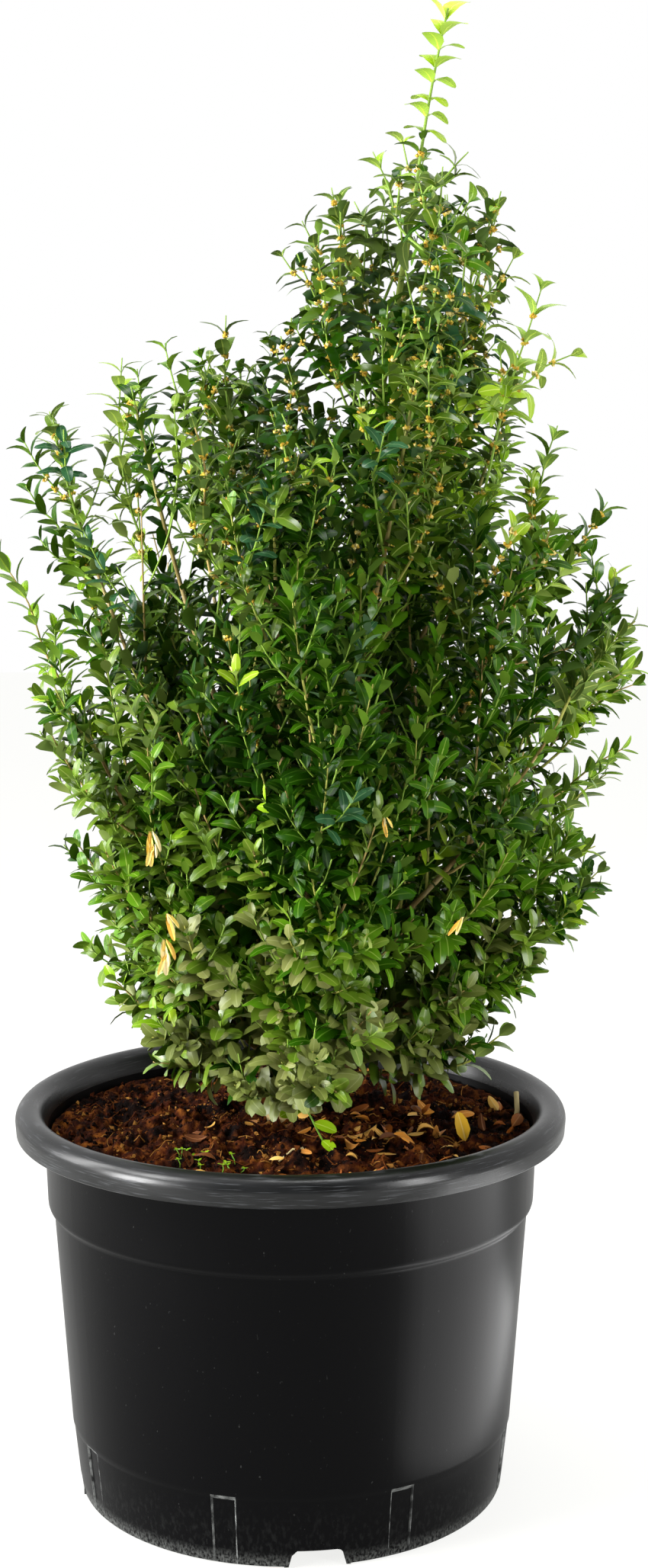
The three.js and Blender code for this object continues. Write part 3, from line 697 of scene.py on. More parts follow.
def leafPattern(ribs, *stations):  # corners, faces, their finishes and the rim, with 0, 1 or 2 ribbed sides
    corners = [(-0.05, 0, 0, 0)]  # along, share of the half width, rib, kind of corner
    for x, wide in stations:
        rib = leaf["midrib"] * (1 - 0.6 * x)
        corners.append((x, wide, 0, 1))
        corners += [(x, 0, rib, 2), (x, 0, -rib, 2)] if ribs else [(x, 0, 0, 2)]
        corners.append((x, -wide, 0, 1))
        corners += [(x, 0, -rib, 3), (x, 0, rib, 3)] if ribs == 2 else [(x, 0, 0, 3)]
    corners.append((1.0, 0, 0, 0))
    # blade, rib, blade, then the underside's strips
    across = ([0, 0, 2, 2], [0, 1, 0, 2, 2], [0, 1, 0, 2, 1, 2])[ribs]
    tip, row, over = len(corners) - 1, len(across), 3 if ribs else 2
    steps = [(1 + row * i, 1 + row * (i + 1)) for i in range(len(stations) - 1)]
    last = steps[-1][1]
    faces, parts = [], []
    for k, part in enumerate(across):
        a, b = k, (k + 1) % row
        faces += [(0, 1 + b, 1 + a, 1 + a), (tip, last + a, last + b, last + b)]
        for low, high in steps:
            ring = (low + a, low + b, high + b, high + a)
            # both sides are split along the same diagonal, so that they never cross
            faces.append(ring[1:] + ring[:1] if k >= over else ring)
        parts += [part] * (2 + len(steps))
    rims = [(low + edge, high + edge) for low, high in steps for edge in (0, over)]
    rims += [(0, 1), (0, 1 + over), (last, tip), (last + over, tip)]
    return corners, faces, parts, rims


# leaves that show are cut finer than those deep in the crown
leafCuts = {
    "inner": leafPattern(0, (0.28, 0.96), (0.80, 0.82)),
    "outer": leafPattern(1, (0.12, 0.50), (0.38, 1), (0.72, 0.92), (0.94, 0.52)),
    "finest": leafPattern(2, (0.08, 0.38), (0.25, 0.84), (0.46, 1), (0.68, 0.95), (0.86, 0.7), (0.96, 0.38)),
}


class Leaves:  # the leaves of one piece, gathered and then made in one go
    def __init__(self):
        self.rows = {name: [] for name in leafCuts}

    def add(self, root, way, over, length, paint, arch=0.1, droop=0.16, fold=0.1, fine="outer", width=None):
        level = over.cross(way).normalized()
        over = way.cross(level)
        half = length * (width or leaf["width"]) / 2
        self.rows[fine].append((*root, *way, *level, *over, length, half, arch, droop, fold, paint))

    def batch(self, fine, slots):  # points, face corners, face sizes, finishes and sharp edges of one cut
        corners, faces, parts, rims = leafCuts[fine]
        rows = np.array(self.rows[fine])
        root, way, level, over = rows[:, 0:3], rows[:, 3:6], rows[:, 6:9], rows[:, 9:12]
        length, half, arch, droop, fold, paint = rows[:, 12:18].T
        columns = []
        for x, wide, rib, kind in corners:
            y = half * wide + length * rib
            z = length * (arch * 4 * x * (1 - x) - droop * x * x)
            if kind == 1:
                z = z + half * abs(wide) * fold
            if kind == 3:
                z = z - length * leaf["thick"]
            columns.append(root + way * (length * x)[:, None] + level * y[:, None] + over * z[:, None])
        flat = [face[2] == face[3] for face in faces]
        loops = np.concatenate([face[:3] if few else face for face, few in zip(faces, flat)])
        starts = np.arange(len(rows))[:, None] * len(corners)
        looks = np.array([slots[int(p)] for p in paint])[:, None] + np.array(parts)
        ends = np.array(rims) + starts[:, :, None]
        return (np.stack(columns, 1).reshape(-1, 3), (loops + starts).reshape(-1),
                np.tile(np.where(flat, 3, 4), len(rows)), looks.reshape(-1), ends.reshape(-1, 2))

    def piece(self, name, slot="foliage"):
        used = sorted({int(row[-1]) for rows in self.rows.values() for row in rows})
        slots = {number: 3 * i for i, number in enumerate(used)}
        batches = [self.batch(fine, slots) for fine in leafCuts if self.rows[fine]]
        starts = np.cumsum([0] + [len(b[0]) for b in batches])
        points, sizes, looks = (np.concatenate([b[i] for b in batches]) for i in (0, 2, 3))
        loops, rims = (np.concatenate([b[i] + start for b, start in zip(batches, starts)]) for i in (1, 4))
        mesh = bpy.data.meshes.new(name)
        mesh.vertices.add(len(points))
        mesh.vertices.foreach_set("co", points.reshape(-1).astype(np.float32))
        mesh.loops.add(len(loops))
        mesh.loops.foreach_set("vertex_index", loops.astype(np.int32))
        mesh.polygons.add(len(sizes))
        mesh.polygons.foreach_set("loop_start", (np.cumsum(sizes) - sizes).astype(np.int32))
        mesh.update(calc_edges=True)
        # the rim of each blade is sharp
        ends = np.empty(2 * len(mesh.edges), np.int32)
        mesh.edges.foreach_get("vertices", ends)
        code = np.array([len(points), 1])
        ends = np.sort(ends.reshape(-1, 2).astype(np.int64), 1) @ code
        mesh.edges.foreach_set("use_edge_sharp", np.isin(ends, np.sort(rims, 1) @ code))
        count = sum(len(rows) for rows in self.rows.values())
        print(name, "leaves", count, "triangles", int((sizes - 2).sum()))
        finishes = [leafLooks[number + part] for number in used for part in range(3)]
        return newPiece(name, mesh, finishes, looks)


# buds: little gold knots where leaves meet the twig

bud = {"count": 10, "share": 0.75, "lowest": 0.70, "radius": 0.0017, "radiusVary": (0.75, 1.2), "point": 1.1,
       "spread": 0.0025, "spreadVary": (0.45, 1.1), "opening": (25, 100), "rise": 0.0014}

# a bud or crumb has a point at each end and four corners round its middle
lumpPoints = [(0, 0, 1), (0, 0, -1), (1, 0, 0), (0, 1, 0), (-1, 0, 0), (0, -1, 0)]
lumpFaces = [(0, 2, 3), (0, 3, 4), (0, 4, 5), (0, 5, 2), (1, 3, 2), (1, 4, 3), (1, 5, 4), (1, 2, 5)]


def addBuds(heap, place, along, number):
    for k in range(bud["count"]):
        turn = goldenAngle * k + 40 * chance(number, 7)
        way, _ = leaning(along, turn, between(bud["opening"], number, 100 + k))
        out = bud["spread"] * between(bud["spreadVary"], number, 20 + k)
        middle = place + way * out + along * bud["rise"] * around(number, 40 + k)
        size = bud["radius"] * between(bud["radiusVary"], number, 60 + k)
        across, other = crossways(way)
        shape = [middle + (across * x + other * y + way * z * (bud["point"] if z > 0 else 1)) * size
                 for x, y, z in lumpPoints]
        heap.add(shape, lumpFaces, int(3 * chance(number, 80 + k)))


# sprays: shoots that leave the limbs, twigs that leave the shoots, and the leaves on them

shoot = {"count": 16, "start": 0.5, "first": 0.02, "last": 0.97, "openFoot": 50, "openTip": 18, "sway": 23,
         "vary": 0.24, "longest": 1.75, "least": 1.25, "lift": 0.5, "lowLift": 0.22, "shortest": 0.030,
         "radius": 0.0014}
twig = {"count": 4, "first": 0.18, "last": 0.82, "openFoot": 48, "openTip": 32, "vary": 0.25, "longest": 0.55,
        "least": 0.30, "atLeast": 0.032, "atMost": 0.085, "lift": 0.34, "shortest": 0.020, "radius": 0.0009,
        "tipRadius": 0.0005}
spray = {"highSize": 1.18, "freshShare": (0.035, 0.14), "freshFrom": 0.75, "budShare": 0.8, "budLeft": 0.55,
         "tanShare": 0.4, "insideUpTo": 0.5, "bareInside": 0.55, "bareShoot": 0.25, "bareTwig": 0.12}
trunkShoots = {"count": 64, "low": 0.332, "high": 0.92, "opening": 62, "length": 0.105, "vary": (0.75, 1.25),
               "lift": 0.45, "overhang": -0.01, "twigs": 3,
               "tiers": (("skirt", 0.38), ("low", 0.46), ("mid", 0.6), ("high", 0.76), ("shoulder", 2))}
# every spray has a number that seeds it: on limbs they stay below the tall shoots', and the trunk's come last
firstNumber = {"tall": 50000, "leader": 60000, "trunk": 70000}

# long shoots that stand out of the crown: depth, then places up the shoot as (x, z)
tallShoots = [
    (0.00, (-0.144, 0.664), (-0.155, 0.717), (-0.172, 0.808), (-0.186, 0.863)),
    (-0.02, (-0.170, 0.760), (-0.182, 0.789), (-0.195, 0.802), (-0.207, 0.821)),
    (-0.03, (-0.160, 0.644), (-0.190, 0.685), (-0.205, 0.729), (-0.228, 0.767)),
    (0.02, (-0.150, 0.620), (-0.174, 0.635), (-0.205, 0.652)),
    (-0.01, (-0.101, 0.747), (-0.125, 0.800), (-0.134, 0.860), (-0.131, 0.920)),
    (0.00, (-0.110, 0.820), (-0.116, 0.870), (-0.120, 0.912)),
    (-0.02, (-0.047, 0.830), (-0.046, 0.880), (-0.050, 0.911), (-0.049, 0.952)),
    (0.01, (-0.058, 0.840), (-0.062, 0.890), (-0.072, 0.929)),
    (0.03, (-0.075, 0.830), (-0.080, 0.870), (-0.086, 0.903)),
    (-0.16, (-0.056, 0.760), (-0.059, 0.834), (-0.067, 0.866)),
    (0.00, (-0.120, 0.425), (-0.148, 0.440), (-0.170, 0.452)),
    (-0.01, (0.104, 1.044), (0.120, 1.057), (0.130, 1.068), (0.139, 1.077)),
    (0.01, (0.122, 1.008), (0.129, 1.022), (0.136, 1.034), (0.145, 1.047)),
    (-0.01, (0.045, 0.990), (0.039, 1.022), (0.033, 1.050)),
    (0.02, (0.065, 0.995), (0.061, 1.022), (0.051, 1.043)),
    (0.00, (0.027, 0.970), (0.021, 1.002), (0.010, 1.026)),
    (-0.01, (0.086, 1.020), (0.078, 1.049), (0.065, 1.077)),
    (0.00, (0.150, 0.930), (0.157, 0.961), (0.176, 0.998)),
    (-0.03, (0.150, 0.780), (0.159, 0.846), (0.172, 0.899), (0.187, 0.945), (0.196, 0.975)),
    (-0.03, (0.176, 0.895), (0.198, 0.912), (0.221, 0.922)),
    (0.01, (0.186, 0.690), (0.191, 0.760), (0.202, 0.832), (0.213, 0.868)),
    (-0.02, (0.210, 0.745), (0.232, 0.778), (0.250, 0.808)),
    (0.02, (0.225, 0.690), (0.250, 0.722), (0.267, 0.742)),
    (-0.03, (0.228, 0.668), (0.253, 0.698), (0.272, 0.715)),
    (0.00, (0.225, 0.640), (0.255, 0.665), (0.279, 0.677)),
    (0.03, (0.222, 0.625), (0.257, 0.650), (0.281, 0.660)),
    (0.01, (0.205, 0.545), (0.235, 0.572), (0.258, 0.590)),
    (-0.03, (0.205, 0.572), (0.240, 0.600), (0.264, 0.614)),
    (0.00, (0.195, 0.505), (0.222, 0.520), (0.247, 0.531)),
    (0.00, (0.170, 0.430), (0.205, 0.455), (0.233, 0.470)),
    (-0.02, (0.130, 0.352), (0.158, 0.370), (0.176, 0.384)),
]
# seen from the camera each keeps its place, but they stand at different depths, apart from one far in front
tall = {"depth": 0.075, "inFront": 0.1, "size": 1.06, "twigEvery": 0.045, "twigAt": (0.2, 0.72),
        "twigLength": (0.028, 0.05), "twigLift": 0.4, "twigOpening": 40}
# places where sky shows through the crown: x, z, half width and half height
skyGaps = [(-0.124, 0.772, 0.017, 0.042), (-0.088, 0.775, 0.010, 0.030), (0.176, 0.930, 0.010, 0.020),
           (0.148, 0.980, 0.014, 0.022)]


def shootFrom(start, along, turn, opening, length, lift, steps):  # it leans off what it grows on, then up
    way, _ = leaning(along, turn, opening)
    half = start + way * (length / 2)
    end = start + way * (length * (1 - lift / 2)) + up * (length * lift)
    return [bend3(start, half, end, k / steps) for k in range(steps + 1)]


def trimmed(line, overhang):  # the part of a line that stays inside the crown
    kept = [line[0]]
    for point in line[1:]:
        if not hasRoom(point, overhang):
            break
        kept.append(point)
    return kept


def throughGap(point):
    return any(((point.x - x) / wide) ** 2 + ((point.z - z) / high) ** 2 < 1 for x, z, wide, high in skyGaps)


def scarce(point):  # how many of the shoots are left out, by place
    left = 0.88 * ease(-point.x, 0.01, 0.09) * ease(point.z, 0.68, 0.79)
    right = 0.7 * ease(point.x, 0.12, 0.20) * ease(point.z, 0.50, 0.62)
    top = 0.93 * ease(point.z, 0.83, 0.95)
    crest = 0.72 * ease(point.x, 0.09, 0.13) * ease(point.z, 0.90, 0.98)
    return max(left, right, crest if point.x > 0.1 else top)


def throughPoints(places, steps):  # a smooth line through given places
    line = []
    ends = [places[0] * 2 - places[1], *places, places[-1] * 2 - places[-2]]
    for a, b, c, d in zip(ends, ends[1:], ends[2:], ends[3:]):
        for t in (k / steps for k in range(steps)):
            line.append((b * 2 + (c - a) * t + (a * 2 - b * 5 + c * 4 - d) * t ** 2
                         + (b * 3 - a - c * 3 + d) * t ** 3) / 2)
    return line + [places[-1]]


def lengthOf(line):
    return sum((b - a).length for a, b in zip(line, line[1:]))


def pointAlong(line, distance):  # the place at a distance, and the way that the line runs there
    for a, b in zip(line, line[1:]):
        step = (b - a).length
        if distance <= step:
            return a.lerp(b, distance / step), (b - a).normalized()
        distance -= step
    return line[-1].copy(), (line[-1] - line[-2]).normalized()


def greenFor(point, number):  # the shade that a spray is dealt
    height = point.z + 0.03 * around(number, 12)
    outside, inside = next(shares for top, *shares in greenShares if height < top)
    shares = outside if outwardness(point) > 0.6 else inside
    middle, half = outlineAt(point.z)
    low = 1 - ease(point.z, 0.84, 0.94)
    midmost = 1 - ease(abs(point.x - middle + 0.05) / half, 0.3, 0.65)
    # painted light on the left and right and painted shade in the middle, dealt as lighter or deeper greens
    paintedLightLeft = sides["paintedLightLeft"] * ease(-point.x, -0.02, 0.08) * mix(1, 0.35, ease(point.z, 0.56, 0.68))
    paintedShadeMiddle = sides["paintedShadeMiddle"] * midmost * ease(point.z, 0.5, 0.6) * low
    paintedLightRight = sides["paintedLightRight"] * ease(point.x, 0.04, 0.11) * low
    if chance(number, 25) < paintedLightRight and point.z > sides["above"]:
        shares = (("bright", 0.75), ("olive" if point.z < 0.6 else "middle", 0.25))
    elif chance(number, 19) < paintedLightLeft and point.z > sides["above"]:
        shares = sides["paintedLightLeftShares"]
    elif chance(number, 19) > 1 - paintedShadeMiddle:
        shares = sides["paintedShadeMiddleShares"]
    left = chance(number, 11)
    for family, share in shares:
        if left < share:
            break
        left -= share
    return dealt(family, number, 13)


def addLeafPairs(stores, line, bare, number, paint, size=1.0, tipPaint=None, budded=False, finest=False,
                 slim=1.6, opened=0, widened=1, turned=None):
    leaves, _, buds = stores
    total = lengthOf(line)
    distance, pair = bare * total, 0
    onCrest = ease(line[-1].z, 0.86, 0.99) if number < firstNumber["leader"] else 0
    spacing = leaf["spacing"] * size * mix(1, leaf["sparse"], onCrest)
    while distance <= total + 1e-6:
        root, along = pointAlong(line, distance)
        share, fromTip = distance / total, (total - distance) / spacing
        high = ease(root.z, 0.74, 0.94)  # leaves higher up stand wider apart and arch further over
        outer = outwardness(root)
        fine = "outer" if outer > leaf["outerFrom"] else "inner"
        if finest or outer > leaf["finestFrom"] and root.z > leaf["finestAbove"]:
            fine = "finest"
        shade = tipPaint if tipPaint is not None and fromTip < 2.2 else paint
        wide = widened * mix(leaf["lowWidth"], leaf["width"], ease(root.z, 0.40, 0.62))
        light = up * 0.8 + Vector((root.x - outlineAt(root.z)[0], root.y, 0)).normalized() * 0.6
        for side in (0, 180):
            salt = 100 + 2 * pair + (side > 0)
            turn = side + 90 * pair + leaf["turnVary"] * around(number, salt)
            turn += turned or math.degrees(number)
            opening = mix(leaf["openFoot"], leaf["openTip"], ease(share, 0.3, 1)) + opened
            opening += leaf["topOpening"] * high + leaf["openVary"] * around(number, salt + 50)
            way, out = leaning(along, turn, opening)
            length = leaf["length"] * size * between(leaf["sizeVary"], number, salt + 130)
            length *= mix(leaf["tipSize"], 1, ease(fromTip, 0, slim))
            length *= mix(leaf["footSize"], 1, ease(share, 0, 0.3))
            if number < firstNumber["tall"] and throughGap(root + way * length * 0.5):
                continue
            over = way.cross(along.cross(out).normalized())
            over += light * between(leaf["toLight"], number, salt + 90)
            leaves.add(root + out * leaf["stalk"], way, over, length, shade,
                       between(leaf["arch"], number, salt + 170) + leaf["topArch"] * high,
                       between(leaf["droop"], number, salt + 210) + leaf["topDroop"] * high,
                       between(leaf["fold"], number, salt + 250), fine,
                       wide * between(leaf["widthVary"], number, salt + 290))
        if budded and fromTip > 0.5 and chance(number, 300 + pair) < bud["share"]:
            addBuds(buds, root, along, number * 31 + pair)
        distance += spacing * between(leaf["stepVary"], number, 400 + pair)
        pair += 1


def growSpray(stores, line, number, order, size=1.0, paint=None, finest=False):  # a shoot or twig in leaf
    tip = line[-1]
    outer = outwardness(tip)
    size *= mix(1, spray["highSize"], ease(tip.z, 0.86, 1.0))
    freshShare = mix(*spray["freshShare"], ease(tip.z, 0.66, 0.88))
    fresh = chance(number, 14) < freshShare and outer > spray["freshFrom"]
    tipPaint = dealt("fresh", number, 15) if fresh else None
    budShare = spray["budShare"] * ease(tip.z, bud["lowest"], 0.98)
    budShare *= mix(1, spray["budLeft"], ease(-tip.x, 0.02, 0.10))
    budded = chance(number, 16) < budShare
    rings = line[:-1:2] + line[-1:]
    radius = shoot["radius"] if order == 1 else twig["radius"]
    radii = [mix(radius, twig["tipRadius"], k / (len(rings) - 1)) for k in range(len(rings))]
    green = order == 2 or chance(number, 17) < ease(tip.z, 0.74, 0.92)
    look = 2 if green else 0 if chance(number, 18) < spray["tanShare"] else 1  # tan, olive or green
    stores[1].tube(rings, radii, 5 if order == 1 else 4, look)
    bare = spray["bareShoot"] if order == 1 else spray["bareTwig"]
    if outer < spray["insideUpTo"]:
        bare = spray["bareInside"]
    if paint is None:
        paint = greenFor(tip, number)
    addLeafPairs(stores, line, bare, number, paint, size, tipPaint, budded, finest)


def growShoot(stores, line, number, overhang, twigCount=twig["count"]):
    growSpray(stores, line, number, 1)
    total = lengthOf(line)
    for side in range(twigCount):
        u = (side + 0.5) / twigCount
        start, along = pointAlong(line, total * mix(twig["first"], twig["last"], u))
        turn = goldenAngle * side + 60 * chance(number, 21 + side)
        opening = mix(twig["openFoot"], twig["openTip"], u)
        length = total * mix(twig["longest"], twig["least"], u)
        length *= 1 + twig["vary"] * around(number, 31 + side)
        length = min(twig["atMost"], max(length, twig["atLeast"]))
        small = trimmed(shootFrom(start, along, turn, opening, length, twig["lift"], 8), overhang + 0.004)
        if lengthOf(small) >= twig["shortest"]:
            growSpray(stores, small, number + side + 1, 2)


def growLimb(stores, limb):
    base = limb["number"] * 1000
    lift = shoot["lowLift"] if limb["tier"] in ("skirt", "low") else shoot["lift"]
    for order in range(shoot["count"]):
        u = (order + 0.5) / shoot["count"]
        t = mix(limb["split"] * shoot["start"], 1, mix(shoot["first"], shoot["last"], u))
        turn = goldenAngle * order + shoot["sway"] * around(base, 10 + order) + limb["azimuth"]
        opening = mix(shoot["openFoot"], shoot["openTip"], u)
        along = (limbPoint(limb, t + 0.02) - limbPoint(limb, t - 0.02)).normalized()
        length = limb["spread"] * mix(shoot["longest"], shoot["least"], u)
        length *= 1 + shoot["vary"] * around(base, 30 + order)
        overhang = mix(*crown["overhang"], chance(base, 50 + order) ** 0.7)
        line = trimmed(shootFrom(limbPoint(limb, t), along, turn, opening, length, lift, 14), overhang)
        if lengthOf(line) >= shoot["shortest"] and chance(base, 70 + order) >= scarce(line[-1]):
            growShoot(stores, line, base + 20 * (order + 1), overhang)
    leafyFrom = 0.50 if limb["tier"] in ("high", "shoulder") else 0.66
    growSpray(stores, [limbPoint(limb, mix(leafyFrom, 1, k / 12)) for k in range(13)], base + 7, 1)


def growTrunkShoots(leavesByTier, twigs, buds):  # short ones that fill the middle
    overhang = trunkShoots["overhang"]
    for order in range(trunkShoots["count"]):
        z = mix(trunkShoots["low"], trunkShoots["high"], (order + 0.5) / trunkShoots["count"])
        t = trunkShare(z)
        along = (trunkPoint(t + 0.01) - trunkPoint(t - 0.01)).normalized()
        length = trunkShoots["length"] * between(trunkShoots["vary"], order, 3)
        line = shootFrom(trunkPoint(t), along, goldenAngle * order, trunkShoots["opening"], length,
                         trunkShoots["lift"], 12)
        line = trimmed(line, overhang)
        stores = leavesByTier[next(name for name, top in trunkShoots["tiers"] if z < top)], twigs, buds
        growShoot(stores, line, firstNumber["trunk"] + 20 * order, overhang, trunkShoots["twigs"])


def growTallShoots(stores):
    for i, (depth, *places) in enumerate(tallShoots):
        slide = 1 - tall["depth"] * around(i, 53) * (abs(depth) < tall["inFront"]) / eye.y
        places = [slide * (Vector((x, depth, z)) - eye) + eye for x, z in places]
        # it starts from the nearest limb below it
        foot = min((limbPoint(limb, k / 40) for limb in limbs for k in range(8, 41)),
                   key=lambda p: (p - places[0]).length + (1 if p.z > places[0].z - 0.015 else 0))
        line = throughPoints([foot, *places], 6)
        number = firstNumber["tall"] + 40 * i
        draw = chance(i, 51)
        family = "fresh" if draw < 0.18 else "bright" if draw < 0.36 else "middle" if draw < 0.54 else "crest"
        paint = paintNumbers[family][int(3 * chance(i, 52))] if line[-1].z > 0.5 else None
        growSpray(stores, line, number, 1, tall["size"], paint, True)
        total = lengthOf(line)
        for side in range(int(total / tall["twigEvery"])):
            start, along = pointAlong(line, total * between(tall["twigAt"], number, 21 + side))
            turn = goldenAngle * side + math.degrees(number)
            length = between(tall["twigLength"], number, 31 + side)
            small = shootFrom(start, along, turn, tall["twigOpening"], length, tall["twigLift"], 8)
            growSpray(stores, small, number + side + 1, 2, 1, paint, True)


def growLeader(stores, limb):
    line = [limbPoint(limb, k / 16) for k in range(17)]
    stores[1].tube(line, [mix(*leader["radii"], k / 16) for k in range(17)], 6, 2)
    total = lengthOf(line)
    split = leader["greenShare"] * total
    lower = [pointAlong(line, split * k / 8)[0] for k in range(9)]
    upper = [pointAlong(line, mix(split, total, k / 12))[0] for k in range(13)]
    number, (lime, _, palest) = firstNumber["leader"] + 11, paintNumbers["lime"]
    addLeafPairs(stores, lower, 0.1, number, paintNumbers["middle"][0], leader["lowSize"], None, True, True)
    addLeafPairs(stores, upper, 0.03, number + 1, lime, leader["topSize"], palest, False, True,
                 leader["slim"], leader["opened"], leader["widened"], leader["turned"])


# dead leaves caught in the crown: place, length, first shade, how far round they hang
deadLeaves = [
    ((-0.103, -0.146, 0.565), 0.025, 0, 80),
    ((-0.101, -0.149, 0.556), 0.016, 0, 110),
    ((-0.091, -0.142, 0.502), 0.020, 1, 20),
    ((-0.094, -0.140, 0.482), 0.026, 2, 75),
    ((-0.092, -0.144, 0.472), 0.016, 0, 120),
    ((0.130, -0.170, 0.505), 0.017, 1, 200),
    ((0.070, -0.188, 0.582), 0.014, 1, 60),
    ((0.034, 0.150, 0.520), 0.026, 0, 70),
    ((0.190, 0.060, 0.480), 0.022, 2, 110),
]


def addDeadLeaves(leaves):  # each is three narrow curled blades
    for place, length, shade, turn in deadLeaves:
        x, y = spot(1, turn)
        way, over = Vector((0.5 * x, 0.25 * y, -1)).normalized(), Vector((y, -1, 0.3)).normalized()
        for k, (droop, fold) in enumerate(((-0.3, 0.8), (0.25, -0.7), (-0.15, 1.1))):
            aside = Vector((0.6 * (k - 1), 0, 0.2 * k))
            paint = paintNumbers["dead"][(shade + k) % 3]
            leaves.add(Vector(place) + over * 0.002 * k, (way + aside * 0.13).normalized(), over + aside,
                       length * (1 - 0.16 * k), paint, 0.02, droop, fold, "finest", 0.23)


def makeCrown():
    twigLooks = newLooks(("twig_tan", "#b49c5e", 0.75, 0.3), ("twig_olive", "#a3a44c", 0.65, 0.35),
                         ("twig_green", "#86a83a", 0.55, 0.4))
    budLooks = newLooks(("bud_gold", "#dcbc46", 0.6, 0.2), ("bud_ochre", "#c8a034", 0.65, 0.2),
                        ("bud_straw", "#efdc8c", 0.6, 0.2))
    twigs, buds = Heap(), Heap()
    leavesByTier = {name: Leaves() for name in [row[0] for row in tiers] + ["leader"]}
    for limb in limbs:
        grow = growLeader if limb["tier"] == "leader" else growLimb
        grow((leavesByTier[limb["tier"]], twigs, buds), limb)
    growTrunkShoots(leavesByTier, twigs, buds)
    growTallShoots((leavesByTier["leader"], twigs, buds))
    addDeadLeaves(leavesByTier["mid"])
    for name, leaves in leavesByTier.items():
        piece = leaves.piece("leaves_" + name, "fresh_foliage" if name == "leader" else "foliage")
        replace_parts(piece, *["foliage_" + limb["name"] for limb in limbs if limb["tier"] == name])
    twigs.piece("fine_twigs", twigLooks, "bark")
    buds.piece("flower_buds", budLooks, "foliage")
    print("crown made, twig faces", len(twigs.faces), "bud faces", len(buds.faces))


makeCrown()


# soil: damp peat, crumbs, fibres and fallen leaves

peat = {
    "rings": 126,
    "around": 400,
    "reach": 0.1965,
    "buried": ((0.1935, 0.285), (0.188, 0.2), (0.173, 0.022)),  # radius and height, down the hidden side
    "bottom": 0.0205,
    "rough": (60, 0.0050),  # how fine and how high each kind of relief is
    "fine": (330, 0.0019),
    "clods": (120, 0.0068, 0.0014),
}


def peatHeight(x, y):
    scale, high = peat["rough"]
    rough = noise.fractal(Vector((x, y, 0.3)) * scale, 0.9, 2.1, 5) * high
    scale, high = peat["fine"]
    fine = noise.noise(Vector((x, y, 1.7)) * scale) * high
    scale, high, sunk = peat["clods"]
    clods = abs(noise.noise(Vector((x, y, 4.1)) * scale)) * high - sunk
    edge = 1 - ease(math.hypot(x, y), 0.190, peat["reach"])
    return soilHeight(x, y) + (rough + fine + clods) * mix(0.3, 1, edge)


def onPeat(x, y, lift=0.0):
    return Vector((x, y, peatHeight(x, y) + lift))


def peatLook():
    look = newLook("damp_peat", "#3b1c0c", 0.95, 0.1)
    grain = noiseOn(look, 120, 9)
    dark = rampOn(look, grain, (0.36, "#060201"), (0.54, "#160804"), (0.70, "#461c0a"))
    warm = rampOn(look, grain, (0.34, "#1a0803"), (0.50, "#481e0a"), (0.66, "#824a18"))
    patch = rampOn(look, noiseOn(look, 26, 4), (0.42, "#000000"), (0.58, "#ffffff"))
    coat(look, {"Base Color": mixOn(look, patch, dark, warm)})
    bumpOn(look, noiseOn(look, 700, 6), 0.8, 0.0015)
    return look


def makeBed():
    count = peat["around"]
    plan = [(peat["reach"] * (i / peat["rings"]) ** 0.85, None, i % 2) for i in range(1, peat["rings"] + 1)]
    plan += [(*ring, 0) for ring in peat["buried"]]
    points, rings = [onPeat(0, 0)], [[0]]
    for radius, z, odd in plan:
        rings.append(range(len(points), len(points) + count))
        for k in range(count):
            x, y = spot(radius, 360 * (k + 0.5 * odd) / count)
            points.append(onPeat(x, y) if z is None else Vector((x, y, z)))
    rings.append([len(points)])
    points.append(Vector((0, 0, peat["bottom"])))
    faces = [(face[0], *face[:0:-1]) for face in ringFaces(rings)]  # they run down, so each is turned over
    bed = newPiece("peat_bed", newMesh("peat_bed", points, faces), [peatLook()], [0] * len(faces))
    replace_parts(bed, "soil")


crumbs = {"count": 10500, "reach": 0.192, "sizes": (0.0006, 0.0034), "corner": (0.6, 1.3), "lean": 0.3,
          "flatness": (1, 0.85, 0.75), "raised": 0.25, "patches": 34, "patchy": 0.9,  # like ones lie together
          "shares": (0.46, 0.78, 0.95)}  # dark, red, brown and, above the last, tan
fibres = {"count": 220, "reach": 0.186, "lengths": (0.006, 0.024), "radii": (0.00025, 0.0005), "tan": 0.35}


def addCrumb(heap, i):
    x, y = spot(crumbs["reach"] * math.sqrt(chance(i, 1)), 360 * chance(i, 2))
    size = mix(*crumbs["sizes"], chance(i, 3) ** 5)
    turn = Quaternion(Vector((around(i, 4), around(i, 5), around(i, 6))).normalized(), 6 * chance(i, 7))
    middle = onPeat(x, y, size * crumbs["raised"])
    shape = []
    for k, corner in enumerate(lumpPoints):
        lumpy = Vector(corner) * between(crumbs["corner"], i, 50 + k)
        lumpy += Vector((around(i, 60 + k), around(i, 70 + k), 0)) * crumbs["lean"]
        shape.append(middle + turn @ (lumpy * Vector(crumbs["flatness"])) * size)
    draw = chance(i, 8) + crumbs["patchy"] * noise.noise(Vector((x, y, 5.0)) * crumbs["patches"])
    heap.add(shape, lumpFaces, sum(draw >= share for share in crumbs["shares"]))


def addFibre(heap, i):
    x, y = spot(fibres["reach"] * math.sqrt(chance(i, 11)), 360 * chance(i, 12))
    length = mix(*fibres["lengths"], chance(i, 14) ** 2)
    line = []
    for k in range(5):
        t = k / 4 - 0.5
        alongX, alongY = spot(length * t, 360 * chance(i, 13) + math.degrees(0.8 * t * around(i, 15)))
        line.append(onPeat(x + alongX, y + alongY, 0.0012 + 0.0016 * chance(i, 16 + k)))
    heap.tube(line, [between(fibres["radii"], i, 22)] * 5, 4, 3 if chance(i, 23) < fibres["tan"] else 2)


